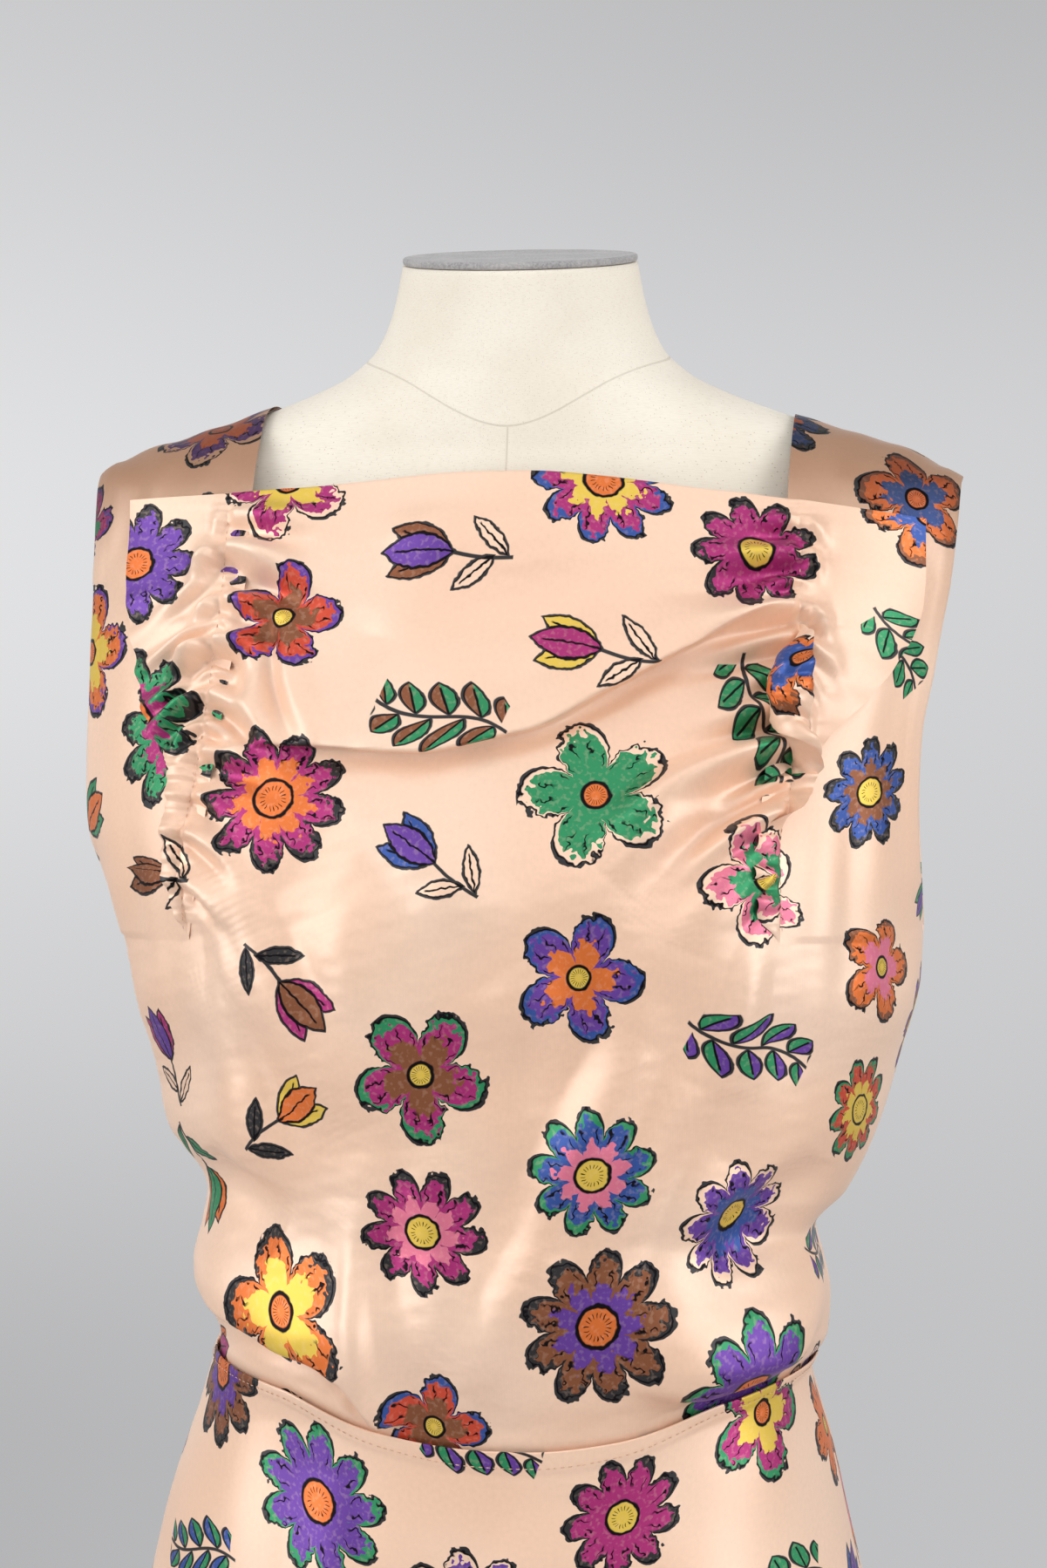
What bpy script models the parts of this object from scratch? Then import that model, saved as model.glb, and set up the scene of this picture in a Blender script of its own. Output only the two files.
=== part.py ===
"""Sleeveless satin gown with a slashed, gathered front, worn by a limbless dress form on a stand.

Metres, +Z up, front towards -Y, floor at z = 0. Each cloth piece is a thin wall whose outer face
follows sections of the dressed figure; folds are short curves on the front with a width and a height.
"""
import math
from collections import namedtuple

import bmesh
import bpy
import numpy as np

for old in list(bpy.data.objects):
    bpy.data.objects.remove(old, do_unlink=True)

group = bpy.data.collections.new("satin_gown_on_dress_form")
bpy.context.scene.collection.children.link(group)

CLOTH = 0.0012          # wall of every cloth piece
SEAM = 0.00028          # each cloth edge stops this far short of its seam
OVERLAP = 0.0020        # the gathered front lies this far out from the straps it covers
SLASH_END = 1.175       # height where both slashes in the front stop
STRAP_TURN = 1.340      # above this height the straps turn over the shoulder
NOTHING = 1e-6
SATIN, STAND = (0.86, 0.62, 0.50), (0.10, 0.10, 0.11)

Section = namedtuple("Section", "z right left front back square")

# The dressed figure: half widths on its own right (-X) and left (+X), depths, and how square the ring is.
GOWN = (
    Section(0.0300, 0.372, 0.372, 0.325, 0.350, 2.00),
    Section(0.1200, 0.352, 0.352, 0.305, 0.325, 2.00),
    Section(0.2500, 0.320, 0.320, 0.272, 0.285, 2.05),
    Section(0.4000, 0.278, 0.276, 0.230, 0.238, 2.10),
    Section(0.5500, 0.239, 0.234, 0.190, 0.195, 2.15),
    Section(0.6800, 0.210, 0.203, 0.160, 0.170, 2.20),
    Section(0.7600, 0.196, 0.187, 0.145, 0.158, 2.25),
    Section(0.8300, 0.184, 0.173, 0.134, 0.147, 2.30),
    Section(0.8900, 0.172, 0.159, 0.127, 0.136, 2.40),
    Section(0.9355, 0.158, 0.149, 0.123, 0.122, 2.50),
    Section(0.9523, 0.152, 0.144, 0.124, 0.115, 2.50),
    Section(0.9691, 0.147, 0.140, 0.130, 0.109, 2.50),
    Section(0.9859, 0.142, 0.148, 0.135, 0.105, 2.50),
    Section(1.0027, 0.150, 0.149, 0.137, 0.103, 2.50),
    Section(1.0195, 0.154, 0.146, 0.137, 0.102, 2.50),
    Section(1.0363, 0.151, 0.142, 0.137, 0.101, 2.50),
    Section(1.0531, 0.149, 0.157, 0.139, 0.101, 2.50),
    Section(1.0867, 0.167, 0.173, 0.144, 0.105, 2.50),
    Section(1.1203, 0.173, 0.183, 0.150, 0.110, 2.50),
    Section(1.1539, 0.182, 0.192, 0.156, 0.115, 2.50),
    Section(1.1875, 0.192, 0.194, 0.158, 0.119, 2.50),
    Section(1.2050, 0.199, 0.197, 0.155, 0.121, 2.50),
    Section(1.2300, 0.207, 0.199, 0.147, 0.123, 2.50),
    Section(1.2500, 0.209, 0.200, 0.139, 0.124, 2.50),
    Section(1.3000, 0.209, 0.207, 0.118, 0.123, 2.50),
    Section(1.3500, 0.209, 0.218, 0.097, 0.117, 2.50),
    Section(1.3720, 0.209, 0.221, 0.087, 0.112, 2.50),
    Section(1.3850, 0.208, 0.219, 0.081, 0.107, 2.50),
    Section(1.3930, 0.204, 0.208, 0.076, 0.101, 2.50),
    Section(1.4055, 0.186, 0.186, 0.067, 0.090, 2.35),
    Section(1.4110, 0.168, 0.168, 0.064, 0.084, 2.30),
    Section(1.4239, 0.129, 0.129, 0.062, 0.074, 2.20),
    Section(1.4409, 0.088, 0.088, 0.060, 0.064, 2.10),
)

# The padded, linen-covered figure under it.
FORM = (
    Section(0.7500, 0.156, 0.156, 0.098, 0.122, 2.20),
    Section(0.7600, 0.161, 0.161, 0.103, 0.128, 2.20),
    Section(0.7900, 0.166, 0.166, 0.110, 0.134, 2.20),
    Section(0.8300, 0.166, 0.166, 0.112, 0.134, 2.20),
    Section(0.8700, 0.158, 0.158, 0.112, 0.130, 2.20),
    Section(0.9000, 0.151, 0.151, 0.111, 0.123, 2.20),
    Section(0.9350, 0.141, 0.141, 0.107, 0.111, 2.20),
    Section(0.9700, 0.132, 0.132, 0.103, 0.098, 2.20),
    Section(1.0000, 0.126, 0.126, 0.100, 0.089, 2.20),
    Section(1.0400, 0.122, 0.122, 0.098, 0.083, 2.20),
    Section(1.0800, 0.129, 0.129, 0.107, 0.087, 2.20),
    Section(1.1200, 0.140, 0.140, 0.122, 0.094, 2.25),
    Section(1.1600, 0.155, 0.155, 0.135, 0.101, 2.30),
    Section(1.1900, 0.166, 0.166, 0.138, 0.106, 2.30),
    Section(1.2200, 0.174, 0.174, 0.133, 0.110, 2.30),
    Section(1.2500, 0.180, 0.180, 0.124, 0.114, 2.30),
    Section(1.3000, 0.190, 0.190, 0.103, 0.114, 2.30),
    Section(1.3400, 0.194, 0.194, 0.088, 0.110, 2.30),
    Section(1.3700, 0.194, 0.194, 0.077, 0.103, 2.30),
    Section(1.3850, 0.1925, 0.1925, 0.070, 0.098, 2.30),
    Section(1.3960, 0.187, 0.187, 0.066, 0.091, 2.30),
    Section(1.4040, 0.178, 0.178, 0.063, 0.086, 2.25),
    Section(1.4100, 0.165, 0.165, 0.062, 0.082, 2.25),
    Section(1.4230, 0.127, 0.127, 0.060, 0.072, 2.15),
    Section(1.4330, 0.101, 0.101, 0.059, 0.066, 2.05),
    Section(1.4420, 0.083, 0.083, 0.058, 0.061, 2.00),
    Section(1.4560, 0.0685, 0.0685, 0.058, 0.058, 2.00),
    Section(1.4750, 0.061, 0.061, 0.058, 0.054, 2.00),
    Section(1.4970, 0.0565, 0.0565, 0.059, 0.050, 2.00),
)
NECK_START, NECK_TILT = 1.440, 0.19      # above its start the neck leans, front edge lower

# Heights of edges: the neckline by x, the waist seam by degrees round the figure from its front.
NECKLINE = ((-0.190, 1.379), (-0.124, 1.381), (0.0, 1.391), (0.133, 1.376), (0.196, 1.368))
WAIST = ((-90, 0.982), (-38, 0.969), (-15, 0.951), (3, 0.944), (17, 0.948), (43, 0.964), (90, 0.975),
         (180, 0.971), (270, 0.982))
BACK_NECK, BACK_STRAP = 1.376, 0.125
FLAP_ROW = 4            # the flaps start this many rows above the foot of the slashes

# Lines down the front by height: where the front is gathered, and the free edge outside it.
Line = namedtuple("Line", "z right left")
GATHER_LINE = (Line(0.940, -0.112, 0.106), Line(1.100, -0.130, 0.124), Line(1.175, -0.139, 0.130),
               Line(1.215, -0.140, 0.129), Line(1.250, -0.135, 0.134), Line(1.310, -0.130, 0.136),
               Line(1.350, -0.128, 0.137), Line(1.391, -0.128, 0.136))
FREE_EDGE = (Line(1.195, -0.1405, 0.1300), Line(1.206, -0.1455, 0.1350), Line(1.246, -0.148, 0.141),
             Line(1.262, -0.155, 0.147), Line(1.286, -0.166, 0.170), Line(1.302, -0.170, 0.182),
             Line(1.327, -0.175, 0.190), Line(1.353, -0.178, 0.193), Line(1.391, -0.178, 0.194))
STRAP_EDGE = (Line(1.175, -0.139, 0.130), Line(1.186, -0.1430, 0.1330), Line(1.202, -0.1440, 0.1335),
              Line(1.220, -0.139, 0.130), Line(1.280, -0.127, 0.128), Line(1.340, -0.118, 0.130))
ARM_EDGE = (Line(1.180, -0.1995, 0.1935), Line(1.240, -0.2000, 0.1910), Line(1.270, -0.2000, 0.1925),
            Line(1.300, -0.2000, 0.1980), Line(1.330, -0.2000, 0.2035), Line(1.372, -0.2000, 0.2115))
STRAP_TOP = Line(1.430, -0.117, 0.133)
# Rows of points lie closer together round the foot of each armhole and at the waist.
STRAP_ROWS = (SLASH_END, 1.183, 1.190, 1.197, 1.204, 1.211, 1.220, 1.233, 1.252, 1.275, 1.300, 1.322,
              STRAP_TURN)
BACK_ROWS = (0, 0.035, 0.070, 0.105, 0.145, 0.20, 0.28, 0.36, 0.44, 0.51, 0.56, 0.588, 0.608, 0.628, 0.652,
             0.69, 0.76, 0.84, 0.92, 1)

# Soft folds of the front: a curve through three guide points (x, z), half widths at its ends, height.
Fold = namedtuple("Fold", "x0 z0 x1 z1 x2 z2 start end height")
FRONT_FOLDS = (
    Fold(-0.128, 1.268, 0.030, 1.258, 0.128, 1.335, 0.014, 0.017, 0.0055),
    Fold(-0.118, 1.250, 0.030, 1.238, 0.122, 1.312, 0.012, 0.012, -0.0022),
    Fold(0.128, 1.262, 0.090, 1.250, 0.050, 1.205, 0.009, 0.017, 0.0042),
    Fold(0.129, 1.236, 0.106, 1.215, 0.088, 1.170, 0.008, 0.014, 0.0032),
    Fold(-0.118, 1.205, -0.088, 1.140, -0.062, 1.085, 0.012, 0.016, 0.0034),
    Fold(-0.070, 1.185, -0.052, 1.130, -0.046, 1.075, 0.012, 0.015, 0.0022),
    Fold(0.066, 1.128, 0.040, 1.090, 0.016, 1.025, 0.011, 0.013, 0.0034),
    Fold(0.090, 1.110, 0.064, 1.075, 0.048, 1.020, 0.010, 0.012, 0.0026),
    Fold(-0.022, 1.085, -0.026, 1.040, -0.023, 0.985, 0.012, 0.012, 0.0032),
    Fold(0.030, 1.070, 0.012, 1.020, -0.008, 0.975, 0.009, 0.012, 0.0024),
    Fold(0.140, 1.315, 0.104, 1.280, 0.142, 1.252, 0.008, 0.010, 0.0085),
    Fold(-0.145, 1.012, -0.085, 1.006, -0.045, 0.962, 0.014, 0.013, 0.0110),
    Fold(0.150, 1.015, 0.126, 0.984, 0.070, 0.976, 0.016, 0.014, 0.0120),
)
BACK_FOLDS = (
    Fold(-0.140, 1.004, -0.010, 0.990, 0.140, 1.002, 0.015, 0.015, 0.0080),
    Fold(-0.060, 1.180, -0.050, 1.100, -0.066, 1.030, 0.013, 0.014, 0.0032),
    Fold(0.034, 1.160, 0.046, 1.090, 0.032, 1.025, 0.012, 0.014, 0.0030),
    Fold(0.092, 1.200, 0.084, 1.120, 0.094, 1.040, 0.012, 0.013, 0.0028),
)
STRAP_FOLDS = (
    Fold(-0.186, 1.240, -0.176, 1.180, -0.160, 1.100, 0.010, 0.012, 0.0030),
    Fold(0.172, 1.262, 0.176, 1.200, 0.160, 1.110, 0.009, 0.012, 0.0030),
    Fold(0.152, 1.240, 0.150, 1.180, 0.142, 1.120, 0.008, 0.011, 0.0024),
)
# How far each gather runs in from the gathering line, from the neckline down.
GATHERS_RIGHT = (0.050, 0.062, 0.044, 0.070, 0.036, 0.058, 0.074, 0.046, 0.040, 0.030)
GATHERS_LEFT = (0.034, 0.060, 0.046, 0.078, 0.052, 0.064, 0.038, 0.056, 0.042, 0.034)
GATHER_PITCH, GATHER_HEIGHT, GATHER_DROP = 0.0155, 0.0024, 0.010

FLUTES, FLUTE_HEIGHT, FLUTE_TOP = 7, 0.026, 0.780     # flutes on each half of the skirt
REST = 0.0003           # gap between pieces of the stand
COLLAR_RADIUS, COLLAR_TOP, COLLAR_FOOT = 0.046, FORM[0].z - REST, 0.735
POLE_RADIUS, BASE_RADIUS, BASE_TOP = 0.016, 0.175, 0.022


def smooth(low, high, value):
    t = np.clip((value - low) / (high - low), 0, 1)
    return t * t * (3 - 2 * t)


def through(spots, values, at):
    """Smooth curve through a short row of values, without overshoot."""
    spots, values = np.asarray(spots, float), np.asarray(values, float)
    rise = np.diff(values) / np.diff(spots)
    slope = np.concatenate(([rise[0]], np.zeros(len(rise) - 1), [rise[-1]]))
    turns = rise[1:] * rise[:-1] <= 0
    total = np.where(turns, 1, rise[1:] + rise[:-1])
    slope[1:-1] = np.where(turns, 0, 2 * rise[1:] * rise[:-1] / total)
    at = np.clip(at, spots[0], spots[-1])
    i = np.clip(np.searchsorted(spots, at) - 1, 0, len(rise) - 1)
    step = spots[i + 1] - spots[i]
    t = (at - spots[i]) / step
    return ((2 * t ** 3 - 3 * t ** 2 + 1) * values[i] + (t ** 3 - 2 * t ** 2 + t) * step * slope[i]
            + (3 * t ** 2 - 2 * t ** 3) * values[i + 1] + (t ** 3 - t ** 2) * step * slope[i + 1])


def read(table, name, z):
    return through([row.z for row in table], [getattr(row, name) for row in table], z)


def across(edge, x):
    return through([spot[0] for spot in edge], [spot[1] for spot in edge], x)


def half_width(table, x, z):
    return np.where(x < 0, read(table, "right", z), read(table, "left", z))


def ring(table, angle, z):
    """Point of the section at height z; angle 0 is the front, pi / 2 the side at +X."""
    power = 2 / read(table, "square", z)
    sine, cosine = np.sin(angle), np.cos(angle)
    deep = np.where(cosine > 0, -read(table, "front", z), read(table, "back", z))
    x = half_width(table, sine, z) * np.sign(sine) * np.abs(sine) ** power
    y = deep * np.abs(cosine) ** power
    return np.stack([x, y, z + 0 * x], axis=-1)


def angle_at(x, z):
    """Angle at which the gown's section at height z has the given x."""
    share = np.clip(np.abs(x) / half_width(GOWN, x, z), 0, 1) ** (read(GOWN, "square", z) / 2)
    return np.sign(x) * np.arcsin(share)


def arm_angle(name, z):
    """Angle of the armhole edge; below the armhole this is the side seam."""
    edge = read(ARM_EDGE, name, z)
    inside = np.abs(edge) < read(GOWN, name, z)
    return np.where(inside, angle_at(edge, z), np.sign(edge) * math.pi / 2)


def over_shoulder(x, turn, back):
    """Points above STRAP_TURN: rays from (x, 0, STRAP_TURN) at the angle turn meet the section's skin."""
    low, high = np.zeros_like(turn), np.full_like(turn, 0.25)
    for _ in range(40):
        reach = (low + high) / 2
        z = STRAP_TURN + reach * np.sin(turn)
        deep, square = read(GOWN, "back" if back else "front", z), read(GOWN, "square", z)
        inside = (np.abs(x) / half_width(GOWN, x, z)) ** square + (reach * np.cos(turn) / deep) ** square < 1
        inside &= z < GOWN[-1].z
        low, high = np.where(inside, reach, low), np.where(inside, high, reach)
    y = low * np.cos(turn) * (1 if back else -1)
    return np.stack([x, y, STRAP_TURN + low * np.sin(turn)], axis=-1)


def relief(folds, x, z):
    """Sum of the folds' heights; each is round across and fades out at both ends."""
    total = np.zeros_like(x)
    t = np.linspace(0, 1, 25)
    for fold in folds:
        near = np.full_like(x, 9.0)
        here = np.zeros_like(x)
        for share in t:
            spot_x = (1 - share) ** 2 * fold.x0 + 2 * share * (1 - share) * fold.x1 + share ** 2 * fold.x2
            spot_z = (1 - share) ** 2 * fold.z0 + 2 * share * (1 - share) * fold.z1 + share ** 2 * fold.z2
            away = np.hypot(x - spot_x, z - spot_z)
            here = np.where(away < near, share, here)
            near = np.minimum(away, near)
        width = fold.start + (fold.end - fold.start) * here
        fade = np.sqrt(np.clip(np.sin(math.pi * np.clip(here, 0.04, 0.96)), 0, 1))
        total += fold.height * fade * np.clip(1 - (near / width) ** 2, 0, 1) ** 2
    return total


def gathers(x, z, side, lengths):
    """Fan of soft ridges that start on a gathering line; they rise outwards only."""
    line = read(GATHER_LINE, side, z)
    inward = (line - x) * np.sign(line)
    total = np.zeros_like(x)
    for row, length in enumerate(lengths):
        start = 1.378 - GATHER_PITCH * row
        reach = np.where(inward > 0, inward / length, -inward / (0.30 * length + 0.004))
        centre = start - GATHER_DROP * np.sin(2.1 * row) * np.clip(reach, 0, 1)
        width = 0.0065 * (1 + 0.8 * np.clip(reach, 0, 1))
        ridge = np.clip(1 - ((z - centre) / width) ** 2, 0, 1) ** 2
        total += GATHER_HEIGHT * ridge * (1 - smooth(0.15, 1.0, reach))
    return total


def outward(points):
    """Unit normals of a grid whose rows run up and whose columns run towards +X on the front."""
    along, up = np.gradient(points, axis=1), np.gradient(points, axis=0)
    normal = np.cross(along, up)
    return normal / np.maximum(np.linalg.norm(normal, axis=-1, keepdims=True), NOTHING)


def sheet(mesh, points):
    rows, columns = points.shape[:2]
    made = bmesh.ops.create_grid(mesh, x_segments=columns - 1, y_segments=rows - 1, size=1)
    for vert, spot in zip(made["verts"], points.reshape(-1, 3)):
        vert.co = spot


def place(name, data, colour, roughness):
    """Object in the group, with a material of its own, shaded smooth away from its sharp edges."""
    part = bpy.data.objects.new(name, data)
    group.objects.link(part)
    material = bpy.data.materials.new(name)
    material.use_nodes = True
    shader = material.node_tree.nodes["Principled BSDF"]
    shader.inputs["Base Color"].default_value = (*colour, 1)
    shader.inputs["Roughness"].default_value = roughness
    data.materials.append(material)
    data.shade_smooth()
    return part


def finish(mesh, name, colour, roughness, wall=0.0):
    """Weld a piece's sheets into one mesh; a wall makes it cloth, otherwise its open ends are capped."""
    bmesh.ops.remove_doubles(mesh, verts=mesh.verts, dist=NOTHING)
    if not wall:
        bmesh.ops.holes_fill(mesh, edges=[edge for edge in mesh.edges if edge.is_boundary])
        bmesh.ops.recalc_face_normals(mesh, faces=mesh.faces)
    data = bpy.data.meshes.new(name)
    mesh.to_mesh(data)
    mesh.free()
    part = place(name, data, colour, roughness)
    if wall:
        thick = part.modifiers.new("wall", "SOLIDIFY")
        thick.thickness, thick.offset = wall, -1
        thick.use_even_offset = False
    else:
        data.set_sharp_from_angle(angle=math.radians(40))
    return part


def clear_seam(points, back):
    """Keep a piece on its own side of the side and shoulder seams."""
    points = points.copy()
    points[..., 1] += SEAM if back else -SEAM
    return points


def stations(side, middle):
    """Places across a panel: 1 and -1 are its gathering or strap lines, 2 and -2 its side edges."""
    sides = np.linspace(1, 2, side)[1:]
    return np.concatenate([-sides[::-1], np.linspace(-1, 1, middle), sides])


def front_angle(share, z):
    line = np.where(share < 0, read(GATHER_LINE, "right", z), read(GATHER_LINE, "left", z))
    edge = angle_at(line, z)
    side = edge + (np.sign(line) * math.pi / 2 - edge) * np.clip(np.abs(share) - 1, 0, 1)
    return np.where(np.abs(share) < 1, angle_at(np.clip(np.abs(share), 0, 1) * line, z), side)


def back_angle(share, z):
    """Angle from the middle of the back; above the side seam a side edge is the armhole's."""
    inner = angle_at(np.clip(share, -1, 1) * np.minimum(BACK_STRAP, 0.66 * half_width(GOWN, share, z)), z)
    limit = np.where(share < 0, arm_angle("right", z), arm_angle("left", z))
    return inner + (limit - inner) * np.clip(np.abs(share) - 1, 0, 1)


def waist_height(share, back):
    z = np.full_like(share, 0.960)
    for _ in range(5):
        angle = math.pi - back_angle(share, z) if back else front_angle(share, z)
        z = across(WAIST, np.degrees(angle))
    return z


def front_bodice():
    """One cut piece: a plain lower part, a gathered middle between two slashes, and two straps."""
    blocks = {}
    side_count, middle_count, rows = 5, 25, 45
    share = stations(side_count, middle_count)
    start = waist_height(share, False) + SEAM
    z = start + (SLASH_END - start) * (np.linspace(0, 1, 15) ** 1.15)[:, None]
    lower = ring(GOWN, front_angle(share, z), z)
    height = relief(FRONT_FOLDS + STRAP_FOLDS, lower[..., 0], z)
    height *= smooth(0, 0.012, z - start) * (1 - smooth(1.5, 1.95, np.abs(share)))
    blocks["lower"] = lower + outward(lower) * height[..., None]

    share = np.linspace(-1, 1, middle_count)
    top = across(NECKLINE, share * np.where(share < 0, -GATHER_LINE[-1].right, GATHER_LINE[-1].left))
    z = SLASH_END + (top - SLASH_END) * np.linspace(0, 1, rows)[:, None]
    line = np.where(share < 0, read(GATHER_LINE, "right", z), read(GATHER_LINE, "left", z))
    x = np.abs(share) * line
    centre = ring(GOWN, angle_at(x, z), z)
    near_line = 1 - smooth(0.020, 0.046, (1 - np.abs(share)) * np.abs(line))
    height = OVERLAP * smooth(SLASH_END, 1.193, z) * near_line
    height += relief(FRONT_FOLDS, x, z) * smooth(1.392, 1.360, z)
    height += gathers(x, z, "right", GATHERS_RIGHT) + gathers(x, z, "left", GATHERS_LEFT)
    centre += outward(centre) * height[..., None]
    # The middle's bottom row is the lower part's top row.
    centre[0] = blocks["lower"][-1][side_count - 1:side_count - 1 + middle_count]
    blocks["centre"] = centre

    for name, end, column in (("right", -1, 0), ("left", 1, -1)):
        blocks["flap " + name] = front_flap(name, end, z[FLAP_ROW:, column], centre[FLAP_ROW:, column])
        strap = front_strap(name)
        strap[0] = blocks["lower"][-1][:side_count] if end < 0 else blocks["lower"][-1][-side_count:]
        blocks["strap " + name] = strap
    mesh = bmesh.new()
    for points in blocks.values():
        sheet(mesh, clear_seam(points, False))
    return finish(mesh, "front_bodice", SATIN, 0.35, CLOTH)


def front_flap(name, end, heights, joined):
    """Free edge outside a gathering line: narrow low down, wide at the neckline, over the strap."""
    line = read(GATHER_LINE, name, heights)[:, None]
    free = read(FREE_EDGE, name, heights)[:, None]
    free[0] = line[0]
    x = line + (free - line) * np.linspace(0, 1, 5)
    drop = across(NECKLINE, x) - across(NECKLINE, line)
    z = heights[:, None] + drop * np.linspace(0, 1, len(heights))[:, None]
    flap = ring(GOWN, angle_at(x, z), z)
    height = OVERLAP + gathers(x, z, name, GATHERS_RIGHT if end < 0 else GATHERS_LEFT)
    height += np.clip(relief(FRONT_FOLDS, x, z), 0, None) * smooth(1.392, 1.360, z)
    flap += outward(flap[:, ::end])[:, ::end] * height[..., None]
    flap[:, 0] = joined
    flap[0] = joined[0]
    return flap[:, ::end]


def front_strap(name):
    """Strap and side front in one, from the slash's end up to the shoulder seam."""
    end = -1 if name == "right" else 1
    share = np.linspace(0, 1, 5)
    z = np.array(STRAP_ROWS)[:, None] + 0 * share
    edge = angle_at(read(STRAP_EDGE, name, z), z)
    strap = ring(GOWN, edge + (arm_angle(name, z) - edge) * share, z)
    height = relief(STRAP_FOLDS, strap[..., 0], z)
    height += relief(FRONT_FOLDS, strap[..., 0], z) * smooth(1.2, SLASH_END, z)
    x_turn = strap[-1, :, 0]
    x_top = getattr(STRAP_TOP, name) + (getattr(ARM_EDGE[-1], name) - getattr(STRAP_TOP, name)) * share
    turn = np.linspace(0, math.pi / 2, 11)[1:, None]
    x = x_turn + (x_top - x_turn) * np.sin(turn)
    upper = over_shoulder(x, turn + 0 * x, False)
    order = slice(None, None, end)
    strap[:, order] += outward(strap[:, order]) * height[:, order][..., None]
    return np.concatenate([strap, upper])[:, order]


def back_bodice():
    """Plain back with a straight neckline between its straps."""
    side_count = 5
    share = stations(side_count, 15)
    start = waist_height(share, True) + SEAM
    z = start + (STRAP_TURN - start) * np.array(BACK_ROWS)[:, None]
    body = ring(GOWN, math.pi - back_angle(share, z), z)
    height = relief(BACK_FOLDS, body[..., 0], z) * (1 - smooth(1.5, 1.95, np.abs(share)))
    height *= smooth(0, 0.012, z - start)
    body = body[:, ::-1]
    body += outward(body) * height[:, ::-1][..., None]

    neck_turn = np.linspace(0, 1, 4)[1:]
    x_turn = body[-1, :, 0]
    # Rows up to the neckline are shared by the middle and the straps.
    target = math.atan2(BACK_NECK - STRAP_TURN, 0.104)
    upper = over_shoulder(np.tile(x_turn, (3, 1)), target * neck_turn[:, None] + 0 * x_turn, True)
    mesh = bmesh.new()
    sheet(mesh, clear_seam(np.concatenate([body, upper]), True))
    for name, pick in (("left", slice(0, side_count)), ("right", slice(-side_count, None))):
        start = x_turn[pick]
        turn = np.linspace(target, math.pi / 2, 9)[:, None]
        share = np.linspace(0, 1, side_count)[::-1 if name == "left" else 1]
        inner_top, outer_top = getattr(STRAP_TOP, name), getattr(ARM_EDGE[-1], name)
        x_top = inner_top + (outer_top - inner_top) * share
        blend = (np.sin(turn) - math.sin(target)) / (1 - math.sin(target))
        strap = over_shoulder(start + (x_top - start) * blend, turn + 0 * start, True)
        sheet(mesh, clear_seam(strap, True))
    return finish(mesh, "back_bodice", SATIN, 0.35, CLOTH)


def skirt_panel(name, back):
    """Flared half of the skirt; its flutes grow from the hips to the hem."""
    angle = np.linspace(-math.pi / 2, math.pi / 2, 43)
    if back:
        angle = math.pi - angle
    top = across(WAIST, np.degrees(angle))
    down = np.array([0.0, 0.03, 0.07, 0.13, 0.20, 0.29, 0.40, 0.53, 0.68, 0.84, 1.0])[::-1, None]
    z = top - SEAM + (GOWN[0].z - top) * down
    panel = ring(GOWN, angle, z)
    grown = smooth(FLUTE_TOP, 0.03, z) ** 1.3
    wave = np.cos(2 * FLUTES * angle + 0.9 * np.sin(2 * angle + 0.4) + 0.5 * np.sin(3 * angle))
    height = FLUTE_HEIGHT * grown * wave * (1 + 0.28 * np.sin(3 * angle + 1.0))
    height = height * smooth(0, 0.22, math.pi / 2 - np.abs(angle - (math.pi if back else 0)))
    panel = panel + outward(panel) * height[..., None]
    mesh = bmesh.new()
    sheet(mesh, clear_seam(panel, back))
    return finish(mesh, name, SATIN, 0.35, CLOTH)


def tube(name, points, colour, roughness):
    """Closed solid from rings; the last column repeats the first."""
    mesh = bmesh.new()
    sheet(mesh, points)
    return finish(mesh, name, colour, roughness)


def turned(name, profile, colour, roughness, sides=48):
    """Profile of (radius, height), run down its outer side, turned about the stand's axis."""
    mesh = bmesh.new()
    spots = [mesh.verts.new((radius, 0, height)) for radius, height in profile]
    for first, second in zip(spots, spots[1:]):
        mesh.edges.new((first, second))
    data = bpy.data.meshes.new(name)
    mesh.to_mesh(data)
    mesh.free()
    part = place(name, data, colour, roughness)
    screw = part.modifiers.new("turn", "SCREW")
    screw.steps = screw.render_steps = sides
    screw.use_merge_vertices, screw.merge_threshold = True, 0.0001
    return part


def form_torso():
    angle = np.linspace(-math.pi, math.pi, 31)
    z = np.array([row.z for row in FORM])[:, None]
    points = ring(FORM, angle, z)
    points[:, -1] = points[:, 0]
    points[..., 2] += NECK_TILT * smooth(NECK_START, FORM[-1].z, z) * points[..., 1]
    return tube("form_torso", points, (0.78, 0.73, 0.65), 0.9)


def neck_cap():
    angle = np.linspace(-math.pi, math.pi, 31)
    top = FORM[-1]
    rings = []
    for size, rise in ((0.975, 0.0003), (1.0, 0.0012), (1.0, 0.0030), (0.98, 0.0040)):
        points = ring(FORM, angle, np.full_like(angle, top.z)) * (size, size, 1)
        points[:, 2] += NECK_TILT * points[:, 1] + rise
        points[-1] = points[0]
        rings.append(points)
    return tube("neck_cap", np.array(rings), (0.55, 0.54, 0.54), 0.9)


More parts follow.
